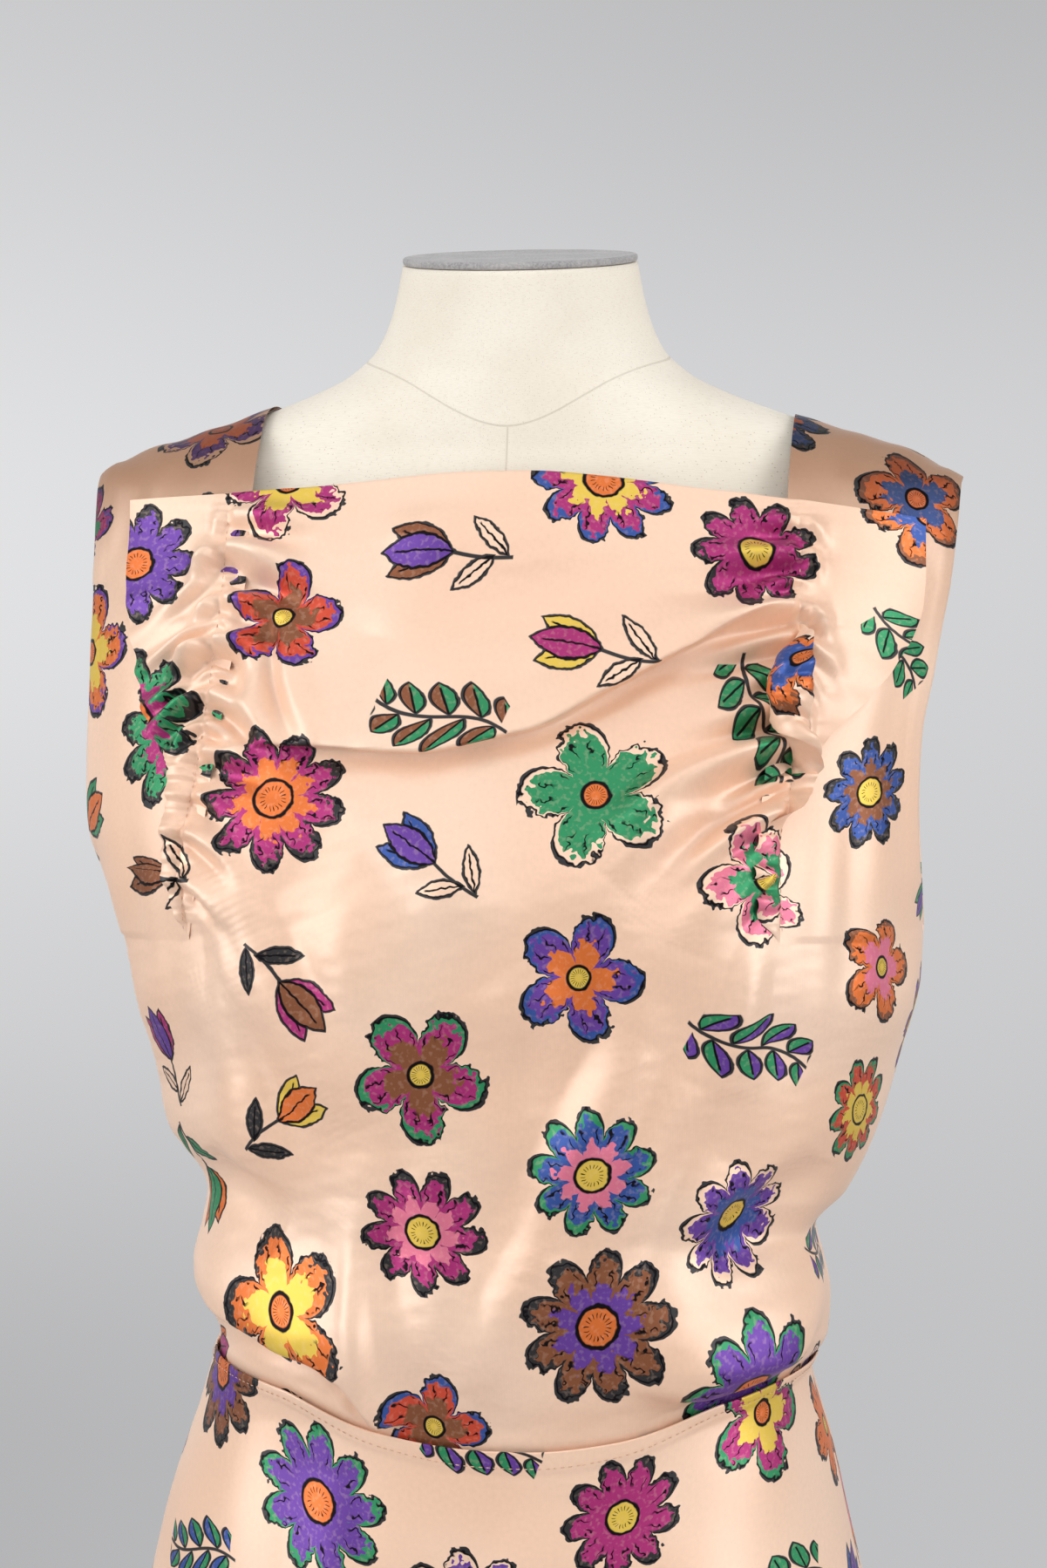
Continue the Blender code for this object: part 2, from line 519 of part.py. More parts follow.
front_bodice()
back_bodice()
skirt_panel("skirt_front", False)
skirt_panel("skirt_back", True)
form_torso()
neck_cap()
turned("stand_collar", ((0, COLLAR_TOP), (COLLAR_RADIUS, COLLAR_TOP), (COLLAR_RADIUS, COLLAR_FOOT + 0.003),
                        (COLLAR_RADIUS - 0.003, COLLAR_FOOT), (0, COLLAR_FOOT)), STAND, 0.4, 32)
turned("stand_pole", ((0, COLLAR_FOOT - REST), (POLE_RADIUS, COLLAR_FOOT - REST),
                      (POLE_RADIUS, BASE_TOP + REST), (0, BASE_TOP + REST)), STAND, 0.4, 24)
turned("stand_base", ((0, BASE_TOP), (0.034, BASE_TOP), (0.040, 0.0185), (0.120, 0.0165),
                      (BASE_RADIUS - 0.004, 0.012), (BASE_RADIUS, 0.008), (BASE_RADIUS, 0.002),
                      (BASE_RADIUS - 0.002, 0), (0, 0)), STAND, 0.4)
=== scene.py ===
import math

import bpy
import numpy as np
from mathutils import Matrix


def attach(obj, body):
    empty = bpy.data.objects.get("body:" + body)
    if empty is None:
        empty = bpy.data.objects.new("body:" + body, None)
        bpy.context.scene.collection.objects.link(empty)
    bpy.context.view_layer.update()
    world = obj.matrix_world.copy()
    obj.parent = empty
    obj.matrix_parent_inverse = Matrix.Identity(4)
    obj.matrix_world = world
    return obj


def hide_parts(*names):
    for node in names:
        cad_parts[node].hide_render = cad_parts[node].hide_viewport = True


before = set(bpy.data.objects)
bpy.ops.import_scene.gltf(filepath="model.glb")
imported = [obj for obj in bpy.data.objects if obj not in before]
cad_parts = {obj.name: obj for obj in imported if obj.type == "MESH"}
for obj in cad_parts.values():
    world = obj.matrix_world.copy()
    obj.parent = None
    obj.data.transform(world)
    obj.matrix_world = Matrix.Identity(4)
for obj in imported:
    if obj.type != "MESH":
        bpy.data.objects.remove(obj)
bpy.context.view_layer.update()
print("frame loaded:", len(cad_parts), "nodes")

# camera: a portrait lens level with the bust, a few degrees to the gown's left
shot = {"aim": (0.0015, 0.0, 1.246), "turn": 6.0, "distance": 1.90, "tall": 0.756, "film": 36}


def addObject(name, data):
    # object of this mesh, lamp or lens, linked to the scene
    made = bpy.data.objects.new(name, data)
    bpy.context.scene.collection.objects.link(made)
    return made


def addCamera(shot):
    # stands on a circle round the aim; lens = film x distance / height of the framed field
    turn = math.radians(shot["turn"])
    lens = bpy.data.cameras.new("portraitLens")
    lens.sensor_fit, lens.sensor_width = "AUTO", shot["film"]
    lens.lens = shot["film"] * shot["distance"] / shot["tall"]
    camera = addObject("portraitCamera", lens)
    way = np.array([math.sin(turn), -math.cos(turn), 0])
    camera.location = np.array(shot["aim"]) + shot["distance"] * way
    camera.rotation_euler = (math.pi / 2, 0, turn)
    bpy.context.scene.camera = camera


addCamera(shot)

# tables in millimetres; a side is -1 on the wearer's right (-X) and 1 on the left (+X)
# height, half width on the right, on the left, depth to the front, to the back; squareness of the ring
gownRows = np.array([
    (30, 372, 372, 325, 350, 2), (120, 352, 352, 305, 325, 2), (250, 320, 320, 272, 285, 2.05),
    (400, 278, 276, 230, 238, 2.1), (550, 239, 234, 190, 195, 2.15), (680, 210, 203, 160, 170, 2.2),
    (760, 196, 187, 145, 158, 2.25), (830, 184, 173, 134, 147, 2.3), (890, 172, 159, 127, 136, 2.4),
    (935.5, 158, 149, 123, 122, 2.5), (952.3, 152, 144, 124, 115, 2.5), (969.1, 147, 140, 130, 109, 2.5),
    (985.9, 142, 148, 135, 105, 2.5), (1002.7, 150, 149, 137, 103, 2.5), (1019.5, 154, 146, 137, 102, 2.5),
    (1036.3, 151, 142, 137, 101, 2.5), (1053.1, 149, 157, 139, 101, 2.5), (1086.7, 167, 173, 144, 105, 2.5),
    (1120.3, 173, 183, 150, 110, 2.5), (1153.9, 182, 192, 156, 115, 2.5), (1187.5, 192, 194, 158, 119, 2.5),
    (1205, 199, 197, 155, 121, 2.5), (1230, 207, 199, 147, 123, 2.5), (1250, 209, 200, 139, 124, 2.5),
    (1300, 209, 207, 118, 123, 2.5), (1350, 209, 218, 97, 117, 2.5), (1372, 209, 221, 87, 112, 2.5),
    (1385, 208, 219, 81, 107, 2.5), (1393, 204, 208, 76, 101, 2.5), (1405.5, 186, 186, 67, 90, 2.35),
    (1411, 168, 168, 64, 84, 2.3), (1423.9, 129, 129, 62, 74, 2.2),
    (1440.9, 88, 88, 60, 64, 2.1)]) / (*[1000] * 5, 1)
formRows = np.array([
    (750, 156, 156, 98, 122, 2.2), (760, 161, 161, 103, 128, 2.2), (790, 166, 166, 110, 134, 2.2),
    (830, 166, 166, 112, 134, 2.2), (870, 158, 158, 112, 130, 2.2), (900, 151, 151, 111, 123, 2.2),
    (935, 141, 141, 107, 111, 2.2), (970, 132, 132, 103, 98, 2.2), (1000, 126, 126, 100, 89, 2.2),
    (1040, 122, 122, 98, 83, 2.2), (1080, 129, 129, 107, 87, 2.2), (1120, 140, 140, 122, 94, 2.25),
    (1160, 155, 155, 135, 101, 2.3), (1190, 166, 166, 138, 106, 2.3), (1220, 174, 174, 133, 110, 2.3),
    (1250, 180, 180, 124, 114, 2.3), (1300, 190, 190, 103, 114, 2.3), (1340, 194, 194, 88, 110, 2.3),
    (1370, 194, 194, 77, 103, 2.3), (1385, 192.5, 192.5, 70, 98, 2.3), (1396, 187, 187, 66, 91, 2.3),
    (1404, 178, 178, 63, 86, 2.25), (1410, 165, 165, 62, 82, 2.25), (1423, 127, 127, 60, 72, 2.15),
    (1433, 101, 101, 59, 66, 2.05), (1442, 83, 83, 58, 61, 2), (1456, 68.5, 68.5, 58, 58, 2),
    (1475, 61, 61, 58, 54, 2), (1497, 56.5, 56.5, 59, 50, 2)]) / (*[1000] * 5, 1)
# heights of edges, by x in front and by degrees round the figure at the waist
neckline = np.array([(-190, 1379), (-124, 1381), (0, 1391), (133, 1376), (196, 1368)]) / 1000
waistSeam = np.array([
    (-90, 982), (-38, 969), (-15, 951), (3, 944), (17, 948), (43, 964), (90, 975),
    (180, 971), (270, 982)]) / (1, 1000)
# lines down the front: height, x on the right, x on the left
gatherLine = np.array([
    (940, -112, 106), (1100, -130, 124), (1175, -139, 130), (1215, -140, 129), (1250, -135, 134),
    (1310, -130, 136), (1350, -128, 137), (1391, -128, 136)]) / 1000
freeEdge = np.array([
    (1175, -140, 131), (1195, -145.5, 135.5), (1206, -148, 138), (1246, -150, 142), (1262, -155, 147),
    (1286, -166, 168), (1302, -170, 180), (1327, -175, 190), (1353, -178, 193), (1391, -178, 194)]) / 1000
strapEdge = np.array([
    (1175, -139, 130), (1186, -137, 124), (1202, -134, 121), (1220, -132, 121), (1280, -125, 126),
    (1340, -118, 130)]) / 1000
armEdge = np.array([
    (1180, -199.5, 193.5), (1240, -200, 191), (1270, -200, 192.5), (1300, -200, 198), (1330, -200, 203.5),
    (1372, -200, 211.5)]) / 1000
strapTop = {-1: -0.117, 1: 0.133}
slashFoot, strapTurn, backNeck, backStrap = 1.175, 1.340, 1.376, 0.125


def ease(low, high, value):
    # smooth step from 0 at low to 1 at high
    t = np.clip((value - low) / (high - low), 0, 1)
    return t * t * (3 - 2 * t)


def unit(vectors):
    # each vector divided by its length
    return vectors / np.maximum(np.linalg.norm(vectors, axis=-1, keepdims=True), 1e-9)


def curve(spots, values, at):
    # smooth line through a short row of values with no overshoot: cubic between spots, slopes their
    # harmonic mean
    rise = np.diff(values) / np.diff(spots)
    slope = np.concatenate(([rise[0]], np.zeros(len(rise) - 1), [rise[-1]]))
    turns = rise[1:] * rise[:-1] <= 0
    slope[1:-1] = np.where(turns, 0, 2 * rise[1:] * rise[:-1] / np.where(turns, 1, rise[1:] + rise[:-1]))
    at = np.clip(at, spots[0], spots[-1])
    i = np.clip(np.searchsorted(spots, at) - 1, 0, len(rise) - 1)
    step = spots[i + 1] - spots[i]
    t = (at - spots[i]) / step
    return ((2 * t ** 3 - 3 * t ** 2 + 1) * values[i] + (t ** 3 - 2 * t ** 2 + t) * step * slope[i]
            + (3 * t ** 2 - 2 * t ** 3) * values[i + 1] + (t ** 3 - t ** 2) * step * slope[i + 1])


def track(table, at, column=1):
    # one column of a table as a smooth line over its first column
    return curve(table[:, 0], table[:, column], at)


def sided(table, x, z):
    # the second column of a table where x is negative, the third elsewhere
    return np.where(x < 0, track(table, z, 1), track(table, z, 2))


def ringPoint(rows, angle, z):
    # superellipse ring at height z: |x/width|^n + |y/depth|^n = 1; angle 0 is the front, a quarter turn
    # the left side
    power = 2 / track(rows, z, 5)
    sine, cosine = np.sin(angle), np.cos(angle)
    deep = np.where(cosine > 0, -track(rows, z, 3), track(rows, z, 4))
    x = sided(rows, sine, z) * np.sign(sine) * np.abs(sine) ** power
    return np.stack([x, deep * np.abs(cosine) ** power, z + 0 * x], axis=-1)


def angleAt(x, z):
    # angle whose point on the gown's ring at height z has this x
    share = np.clip(np.abs(x) / sided(gownRows, x, z), 0, 1) ** (track(gownRows, z, 5) / 2)
    return np.sign(x) * np.arcsin(share)


def armAngle(side, z):
    # angle of the armhole's edge; below the armhole it is the side seam
    edge = sided(armEdge, side, z)
    inside = np.abs(edge) < np.abs(sided(gownRows, edge, z))
    return np.where(inside, angleAt(edge, z), np.sign(edge) * math.pi / 2)


def overShoulder(x, turn, isBack):
    # rays from (x, 0, strapTurn) at the angle turn, cut where they meet the gown's rings, by halving
    low, high = np.zeros_like(turn), np.full_like(turn, 0.25)
    for _ in range(40):
        reach = (low + high) / 2
        z = strapTurn + reach * np.sin(turn)
        deep, square = track(gownRows, z, 4 if isBack else 3), track(gownRows, z, 5)
        inside = (np.abs(x) / sided(gownRows, x, z)) ** square + (reach * np.cos(turn) / deep) ** square < 1
        inside &= z < gownRows[-1, 0]
        low, high = np.where(inside, reach, low), np.where(inside, high, reach)
    return np.stack([x, low * np.cos(turn) * (1 if isBack else -1), strapTurn + low * np.sin(turn)], axis=-1)


def outward(points):
    # unit normals of a grid whose rows run up and whose columns run to the right as seen from outside
    return unit(np.cross(np.gradient(points, axis=1), np.gradient(points, axis=0)))


def raised(points, normal, lift):
    # points moved along their normals by lift
    return points + normal * lift[..., None]


def foldRelief(folds, x, z):
    # sum of soft ridges along three-point curves: height x (1 - (distance / width)^2)^2, fading out at
    # the ends
    total, t = np.zeros_like(x), np.linspace(0, 1, 41)
    weights = np.stack([(1 - t) ** 2, 2 * t * (1 - t), t ** 2])
    for fold in np.array(folds) / 1000:
        spotX, spotZ = fold[0:6:2] @ weights, fold[1:6:2] @ weights
        start, end, height = fold[6] * 1.25, fold[7] * 1.25, fold[8]
        far = max(start, end)
        reach = (np.abs(x - (fold[0:6:2].min() + fold[0:6:2].max()) / 2) < np.ptp(fold[0:6:2]) / 2 + far)
        reach &= np.abs(z - (fold[1:6:2].min() + fold[1:6:2].max()) / 2) < np.ptp(fold[1:6:2]) / 2 + far
        if not reach.any():
            continue
        away = np.hypot(x[reach][:, None] - spotX, z[reach][:, None] - spotZ)
        nearest = away.argmin(axis=1)
        here = t[nearest]
        part = away.min(axis=1) / (start + (end - start) * here)
        fade = np.sin(math.pi * np.clip(here, 0.03, 0.97)) ** 0.8
        total[reach] += height * fade * np.clip(1 - part ** 2, 0, 1) ** 2
    return total


def gatherRelief(side, x, z):
    # fan of ridges from the gathering line: narrow and high at the line, wider and lower towards each
    # tip, and running on outside the line across the loose edge, slanting down
    inward = (sided(gatherLine, side, z) - x) * side
    total = np.zeros_like(x)
    for startZ, tipX, tipZ, width, height, outside in np.array(gathers[side]) / 1000:
        length = abs(sided(gatherLine, side, startZ) - tipX)
        reach = np.where(inward > 0, inward / length, -inward / outside)
        run = np.clip(reach, 0, 1)
        bow = np.where(inward > 0, (tipZ - startZ) * run ** 1.5, -0.60 * outside * run)
        away = (z - startZ - bow) / (width * (1 + 1.3 * run))
        ridge = np.exp(-away ** 2) - 0.55 * np.exp(-((away + 1.5) / 0.8) ** 2)
        rooted = 0.35 + 0.65 * ease(0, 0.005, np.abs(inward))
        total += height * ridge * (1 - ease(0.25, 1.0, reach)) * rooted
    pucker = np.sin(2 * math.pi * z / 0.0057 + 9 * np.sin(60 * z)) + 0.6 * np.sin(2 * math.pi * z / 0.0034)
    total *= front["pleat"] * np.where(inward < 0, 1 + 0.37 * ease(0, 0.012, -inward), 1)
    return total + 0.00036 * pucker * np.exp(-(inward / 0.0065) ** 2) * ease(1.165, 1.185, z)


def overhang(creases, x, z):
    # cloth that falls over a crease: it stands out and sags by the same bump, steep at the crease, soft
    # above it
    lift, drop = np.zeros_like(x), np.zeros_like(x)
    for crease in creases:
        spots, heights, (rise, sag, lip, spread, start, end) = (np.array(part) / 1000 for part in crease)
        slope = (curve(spots, heights, x + 0.002) - curve(spots, heights, x - 0.002)) / 0.004
        above = (z - curve(spots, heights, x)) / np.sqrt(1 + slope ** 2)
        strength = ease(spots[0], spots[0] + start, x) * (1 - ease(spots[-1] - end, spots[-1], x))
        bump = ease(-0.0005, lip, above) * np.exp(-(np.clip(above - lip, 0, None) / spread) ** 2)
        lift += rise * strength * (bump - 0.22 * np.exp(-((above + 0.004) / 0.005) ** 2))
        drop += sag * strength * bump
    return lift, drop


def ripple(a, b, seed, wave, height):
    # faint unevenness: seven crossed sines of similar length in seeded directions
    dice = np.random.default_rng(seed)
    ways, lengths, phases = (dice.uniform(*ends, 7) for ends in ((0, math.pi), (0.7, 1.5), (0, 6.3)))
    waves = (np.sin(2 * math.pi * (a * np.cos(w) + b * np.sin(w)) / l + p)
             for w, l, p in zip(ways, wave * lengths, phases))
    return height * sum(waves) / 2.6


def cutPlan(points, middle):
    # flat place of each point in metres: across is the way along its row from the middle column, up the
    # mean climb
    across = np.cumsum(np.linalg.norm(np.diff(points, axis=1, prepend=points[:, :1]), axis=-1), axis=1)
    across -= across[:, [middle]]
    climb = np.linalg.norm(np.diff(points, axis=0, prepend=points[:1]), axis=-1).mean(axis=1)
    return np.stack([across, np.cumsum(climb)[:, None] + 0 * across], axis=-1)


def turnedHem(points, plan, edge, depth=0.007):
    # five lines added past one border, round the edge and back inside it; each is how far out, sunk, and
    # along the cloth, so the print runs on round the hem
    swap = (1, 0, 2) if edge in ("first", "last") else (0, 1, 2)
    way = -1 if edge in ("first", "foot") else 1
    p, q, normal = (grid.transpose(swap)[::way] for grid in (points, plan, outward(points)))
    ahead = p[-1] - p[-3]
    length = np.maximum(np.linalg.norm(ahead, axis=-1, keepdims=True), 1e-9)
    steps = np.array([(0.0004, -0.0003, 0.0005), (0.0005, -0.0007, 0.0009), (0.0001, -0.0010, 0.0014),
                      (-0.002, -0.0011, 0.0035), (-depth, -0.0011, depth + 0.0015)])[:, :, None, None]
    extra = p[-1] + ahead / length * steps[:, 0] + normal[-1] * steps[:, 1]
    flat = q[-1] + (q[-1] - q[-3]) / length * steps[:, 2]
    return [np.concatenate(parts)[::way].transpose(swap) for parts in ((p, extra), (q, flat))]


def gridFaces(rows, columns, start=0):
    # four corners of each cell of a grid of points that is counted row by row from start
    index = start + np.arange(rows * columns).reshape(rows, columns)
    return np.stack([index[:-1, :-1], index[:-1, 1:], index[1:, 1:], index[1:, :-1]], axis=-1).reshape(-1, 4)


def meshPiece(name, blocks, shift=(0, 0), nudge=0.0):
    # grids of points joined into one smooth mesh, doubles merged and quads that close at a pole made
    # triangles; each block is (points, flat plan, painted shade), shift moves the print, and nudge keeps the
    # piece off its neighbour
    sizes = [points[..., 0].size for points, *_ in blocks]
    quads = np.concatenate([gridFaces(*points.shape[:2], sum(sizes[:n]))
                            for n, (points, *_) in enumerate(blocks)])
    spots = np.concatenate([points.reshape(-1, 3) for points, *_ in blocks]) + (0, nudge, 0)
    plans = np.concatenate([plan.reshape(-1, 2) for _, plan, _ in blocks]) + shift
    paintedShades = np.concatenate([(tint + 0 * points[..., 0]).ravel() for points, _, tint in blocks])
    rounded = np.round(spots * 1e6).astype(np.int64)
    _, first, merged = np.unique(rounded, axis=0, return_index=True, return_inverse=True)
    corners = merged.reshape(-1)[quads]
    kept = corners != np.roll(corners, 1, axis=1)
    solid = kept.sum(axis=1) > 2
    corners, quads, kept = corners[solid], quads[solid], kept[solid]
    counts = kept.sum(axis=1)
    mesh = bpy.data.meshes.new(name)
    mesh.vertices.add(len(first))
    mesh.vertices.foreach_set("co", spots[first].astype(np.float32).ravel())
    mesh.loops.add(int(counts.sum()))
    mesh.loops.foreach_set("vertex_index", corners[kept].astype(np.int32))
    mesh.polygons.add(len(corners))
    mesh.polygons.foreach_set("loop_start", (np.cumsum(counts) - counts).astype(np.int32))
    mesh.update(calc_edges=True)
    mesh.uv_layers.new(name="flatCut").data.foreach_set("uv", plans[quads[kept]].astype(np.float32).ravel())
    mesh.attributes.new("tint", "FLOAT", "POINT").data.foreach_set("value", paintedShades[first].astype(np.float32))
    mesh.validate()
    mesh.shade_smooth()
    piece = addObject(name, mesh)
    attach(piece, "root")
    print(name, int((counts - 2).sum()), "triangles")
    return piece


# front bodice
front = {"columns": 171, "side": 34, "lowerRows": 176, "upperRows": 190, "flapColumns": 22, "overlap": 0.0021,
         "ripple": 0.00125, "wave": 0.052, "fold": 2.15, "pleat": 2.5, "flute": {-1: 0.0011, 1: 0.0003}}
# x and z of a soft ridge's start, middle guide and end, half width at its ends, height
frontFolds = (
    (128, 1262, 90, 1250, 50, 1205, 9, 22, 4.4), (129, 1248, 100, 1235, 60, 1180, 7, 18, -2.8),
    (129, 1236, 106, 1215, 88, 1170, 8, 18, 3), (-126, 1212, -94, 1150, -60, 1085, 12, 24, 3.6),
    (-138, 1165, -112, 1115, -100, 1050, 12, 20, 2.4), (-76, 1190, -50, 1140, -40, 1080, 18, 26, 2.4),
    (-50, 1232, -14, 1205, 10, 1160, 14, 26, 2.2), (70, 1136, 40, 1085, 14, 1020, 14, 20, 3.4),
    (92, 1116, 64, 1075, 46, 1015, 13, 18, 2.4), (106, 1080, 92, 1050, 80, 1010, 14, 16, 1.6),
    (-20, 1088, -26, 1040, -23, 978, 17, 19, 3.2), (34, 1060, 14, 1010, -12, 968, 12, 18, 2.6),
    (-64, 1062, -60, 1020, -50, 978, 15, 17, 2.2), (40, 1180, 50, 1130, 30, 1090, 22, 24, -2.2),
    (120, 1175, 112, 1140, 110, 1100, 8, 14, 2.6), (-128, 1190, -118, 1165, -112, 1135, 6, 12, 2),
    (150, 1078, 126, 1048, 94, 1036, 12, 18, -4.2), (-140, 1078, -122, 1054, -94, 1042, 12, 18, -3.8),
    (132, 1330, 100, 1318, 60, 1322, 8, 15, 2), (-112, 1316, -114, 1285, -96, 1262, 7, 9, 3),
    (-92, 1334, -103, 1292, -74, 1266, 9, 12, 2.4), (-100, 1325, -108, 1288, -84, 1264, 5, 6, -1.6),
    (-90, 1345, -60, 1325, -30, 1325, 10, 16, 1.6), (-70, 1372, -10, 1352, 50, 1364, 13, 18, 1.5),
    (-40, 1330, 10, 1318, 64, 1338, 16, 20, -1.8))
sideFolds = (
    (-186, 1240, -176, 1180, -160, 1100, 10, 12, 3), (-160, 1215, -160, 1160, -150, 1110, 7, 10, 2),
    (172, 1262, 176, 1200, 160, 1110, 9, 12, 3), (152, 1240, 150, 1180, 142, 1120, 8, 11, 2.4),
    (185, 1330, 172, 1290, 160, 1240, 7, 10, 1.4))
# creases with cloth falling over them: x and z along the crease; how far it stands out, sags, lip,
# spread, end fades
frontCreases = (
    ((-135, -104, -76, -35, 15, 54, 88, 104, 136),
     (1257, 1261, 1262.5, 1261, 1269, 1289, 1307, 1315, 1327), (10, 6.6, 3.4, 22, 90, 50)),
    ((-156, -131, -115, -100.5, -83, -67, -51, -30),
     (1010, 1004, 998, 992, 986.5, 975.5, 956.5, 951), (11, 8, 9, 20, 34, 26)),
    ((50, 80, 104, 118, 130, 140, 154), (954, 960, 965.5, 970, 974.5, 980, 990), (15, 9, 23, 24, 50, 30)),
)
# start height on the gathering line, x and z of the tip, half width at the line, height, length outside
# the line
gathers = {
    -1: (
        (1370, -60, 1366, 4.4, 2, 10), (1353, -74, 1334, 5, 5, 20), (1343, -100, 1341, 2.6, 1.8, 40),
        (1330, -88, 1322, 3.8, 2.8, 16), (1321, -118, 1320, 2.2, 2, 46), (1309, -104, 1309, 4.2, 5.2, 24),
        (1298, -110, 1295, 2.4, 2, 40), (1286, -92, 1266, 4, 3.4, 36), (1272, -112, 1268, 2.6, 2.2, 20),
        (1260, -84, 1256, 4, 2.4, 24), (1241, -112, 1232, 3, 2, 12), (1224, -106, 1206, 3.6, 2.6, 12),
        (1203, -110, 1180, 4, 2.6, 10)),
    1: (
        (1366, 98, 1364, 3.2, 1.8, 16), (1350, 72, 1350, 4.4, 3, 12), (1338, 108, 1334, 2.4, 1.8, 10),
        (1325, 82, 1316, 4, 3.6, 18), (1311, 60, 1300, 3.8, 2.6, 24), (1296, 104, 1288, 2.8, 1.8, 14),
        (1280, 78, 1268, 4.4, 3, 10), (1262, 56, 1232, 5, 4.6, 10), (1248, 96, 1226, 3, 2.2, 10),
        (1232, 70, 1190, 4.6, 3.4, 8), (1206, 108, 1184, 3.4, 2, 8))}
# the loose edge below the flap, hung from the gathering line: height, the way it sets off and the way it
# ends in degrees (0 lies outwards on the cloth, 90 stands straight out, 180 lies inwards), width
header = {
    -1: np.array([
        (1175, 40, 20, 3.5), (1198, 60, 0, 7.5), (1225, 62, -12, 11.5), (1248, 55, -12, 15),
        (1268, 40, -10, 19)]) / (1000, 1, 1, 1000),
    1: np.array([
        (1175, 150, 190, 5), (1184, 148, 200, 11), (1206, 150, 198, 14.5), (1222, 140, 190, 13),
        (1233, 84, 60, 10), (1242, 40, 0, 11), (1262, 24, -6, 13)]) / (1000, 1, 1, 1000)}
# the cascade: a roll of the loose edge on the left, same four columns and the share of its height
loop = {"foot": 1.250, "top": 1.317, "rows": 80, "columns": 72, "power": 1.7, "sag": 0.10,
        "print": (0.019, 0.087)}
loopRows = np.array([
    (0, 30, -20, 12), (0.1, 120, -120, 30), (0.26, 164, -150, 50), (0.48, 168, -70, 58),
    (0.72, 160, -30, 46), (0.9, 135, 0, 20), (1, 90, 40, 3)]) / (1, 1, 1, 1000)


def frontAngle(share, z):
    # share 1 and -1 are the gathering lines, 2 and -2 the side seams
    line = sided(gatherLine, share, z)
    edge = angleAt(line, z)
    side = edge + (np.sign(line) * math.pi / 2 - edge) * np.clip(np.abs(share) - 1, 0, 1)
    return np.where(np.abs(share) < 1, angleAt(np.clip(np.abs(share), 0, 1) * line, z), side)


def seamHeight(share, angleOf):
    # the waist seam's height depends on the angle and the angle on the height, so it is found by repeating
    z = np.full_like(share, 0.960)
    for _ in range(5):
        z = track(waistSeam, np.degrees(angleOf(share, z)))
    return z


def bloused(angle, share, z, start, relief, calm, rim):
    # hull at (angle, z) that sags over its creases and rises with its folds, calm towards the side seams,
    # and is drawn in at the waist seam; relief is its lift and drop
    lift, drop = relief
    wing = 1 - ease(calm, 1.98, np.abs(share))
    lift = lift * wing * (0.15 + 0.85 * ease(0, 0.010, z - start))
    lift = lift - 0.0016 * (1 - ease(-0.001, 0.006, z - start))
    hull = ringPoint(gownRows, angle, np.maximum(z - drop * wing * ease(0, rim, z - start), 0.93))
    return raised(hull, outward(ringPoint(gownRows, angle, z)), lift)


def dress(x, z, away):
    # the front's folds, overhanging creases and faint unevenness at the hull's place (x, z)
    lift, drop = overhang(frontCreases, x, z)
    lift += front["fold"] * foldRelief(frontFolds, x, z) + foldRelief(sideFolds, x, z) * away
    lift = lift + ripple(x, z, 4, front["wave"], front["ripple"]) + ripple(x, 2.4 * z, 9, 0.021, 0.00010)
    return lift, drop


def bodiceFront(front):
    # lower body from side seam to side seam, then the centre between the slashes, and the loop, flaps and straps
    middle = np.linspace(-1, 1, front["columns"])
    middle = middle * (1.35 - 0.35 * middle ** 2)
    sides = np.linspace(1, 2, front["side"])[1:]
    share = np.concatenate([-sides[::-1], middle, sides])
    start = seamHeight(share, frontAngle)
    z = start - 0.005 + (slashFoot - start + 0.005) * (np.linspace(0, 1, front["lowerRows"]) ** 1.06)[:, None]
    angle = frontAngle(share, z)
    flat = ringPoint(gownRows, angle, z)
    lower = bloused(angle, share, z, start, dress(flat[..., 0], z, 1.0), 1.55, 0.004)
    plan = cutPlan(flat, len(share) // 2)

    top = track(neckline, middle * np.where(middle < 0, 0.128, 0.136))
    z = slashFoot + (top - slashFoot) * np.linspace(0, 1, front["upperRows"])[:, None]
    line = sided(gatherLine, middle, z)
    x = np.abs(middle) * line
    lift, drop = dress(x, z, 0.0)
    calm = 1 - ease(1.368, 1.391, z)
    near = 1 - ease(0.018, 0.046, (1 - np.abs(middle)) * np.abs(line))
    gathered = sum(gatherRelief(side, x, z) * (middle * side > 0) for side in (-1, 1))
    lift = (lift * (0.25 + 0.75 * calm) + gathered * (0.45 + 0.55 * calm) * ease(0.0, 0.012, z - slashFoot)
            + front["overlap"] * near * ease(slashFoot, 1.193, z))
    flat = ringPoint(gownRows, angleAt(x, z), z)
    centre = raised(ringPoint(gownRows, angleAt(x, z - drop), z - drop), outward(flat), lift)
    edge = front["side"] - 1
    centre[0] = lower[-1, edge:edge + front["columns"]]
    upPlan = cutPlan(flat, front["columns"] // 2)
    upPlan[..., 1] += plan[-1, 0, 1]
    blocks = [(lower, plan, 0), (*turnedHem(centre, upPlan, "top"), 0),
              (*bodiceLoop(loop, centre[:, -1], upPlan[:, -1], z[:, -1]), 0)]
    for side, column, pick in ((-1, 0, slice(0, edge + 1)), (1, -1, slice(-edge - 1, None))):
        blocks.append((*bodiceFlap(front, side, z[:, column], centre[:, column], upPlan[:, column]), 0))
        strap, strapPlan, tint = bodiceStrap(front, side)
        strap[0] = lower[-1, pick]
        strapPlan += plan[-1, pick][0] - strapPlan[0, 0]
        hemmed = turnedHem(strap, strapPlan, "first" if side < 0 else "last")
        # the strap's painted shade, carried on over the hem's added columns
        blocks.append((*hemmed, np.pad(tint, ((0, 0), (5, 0) if side < 0 else (0, 5)), "edge")))
    return meshPiece("bodiceFront", blocks, nudge=-0.0002)


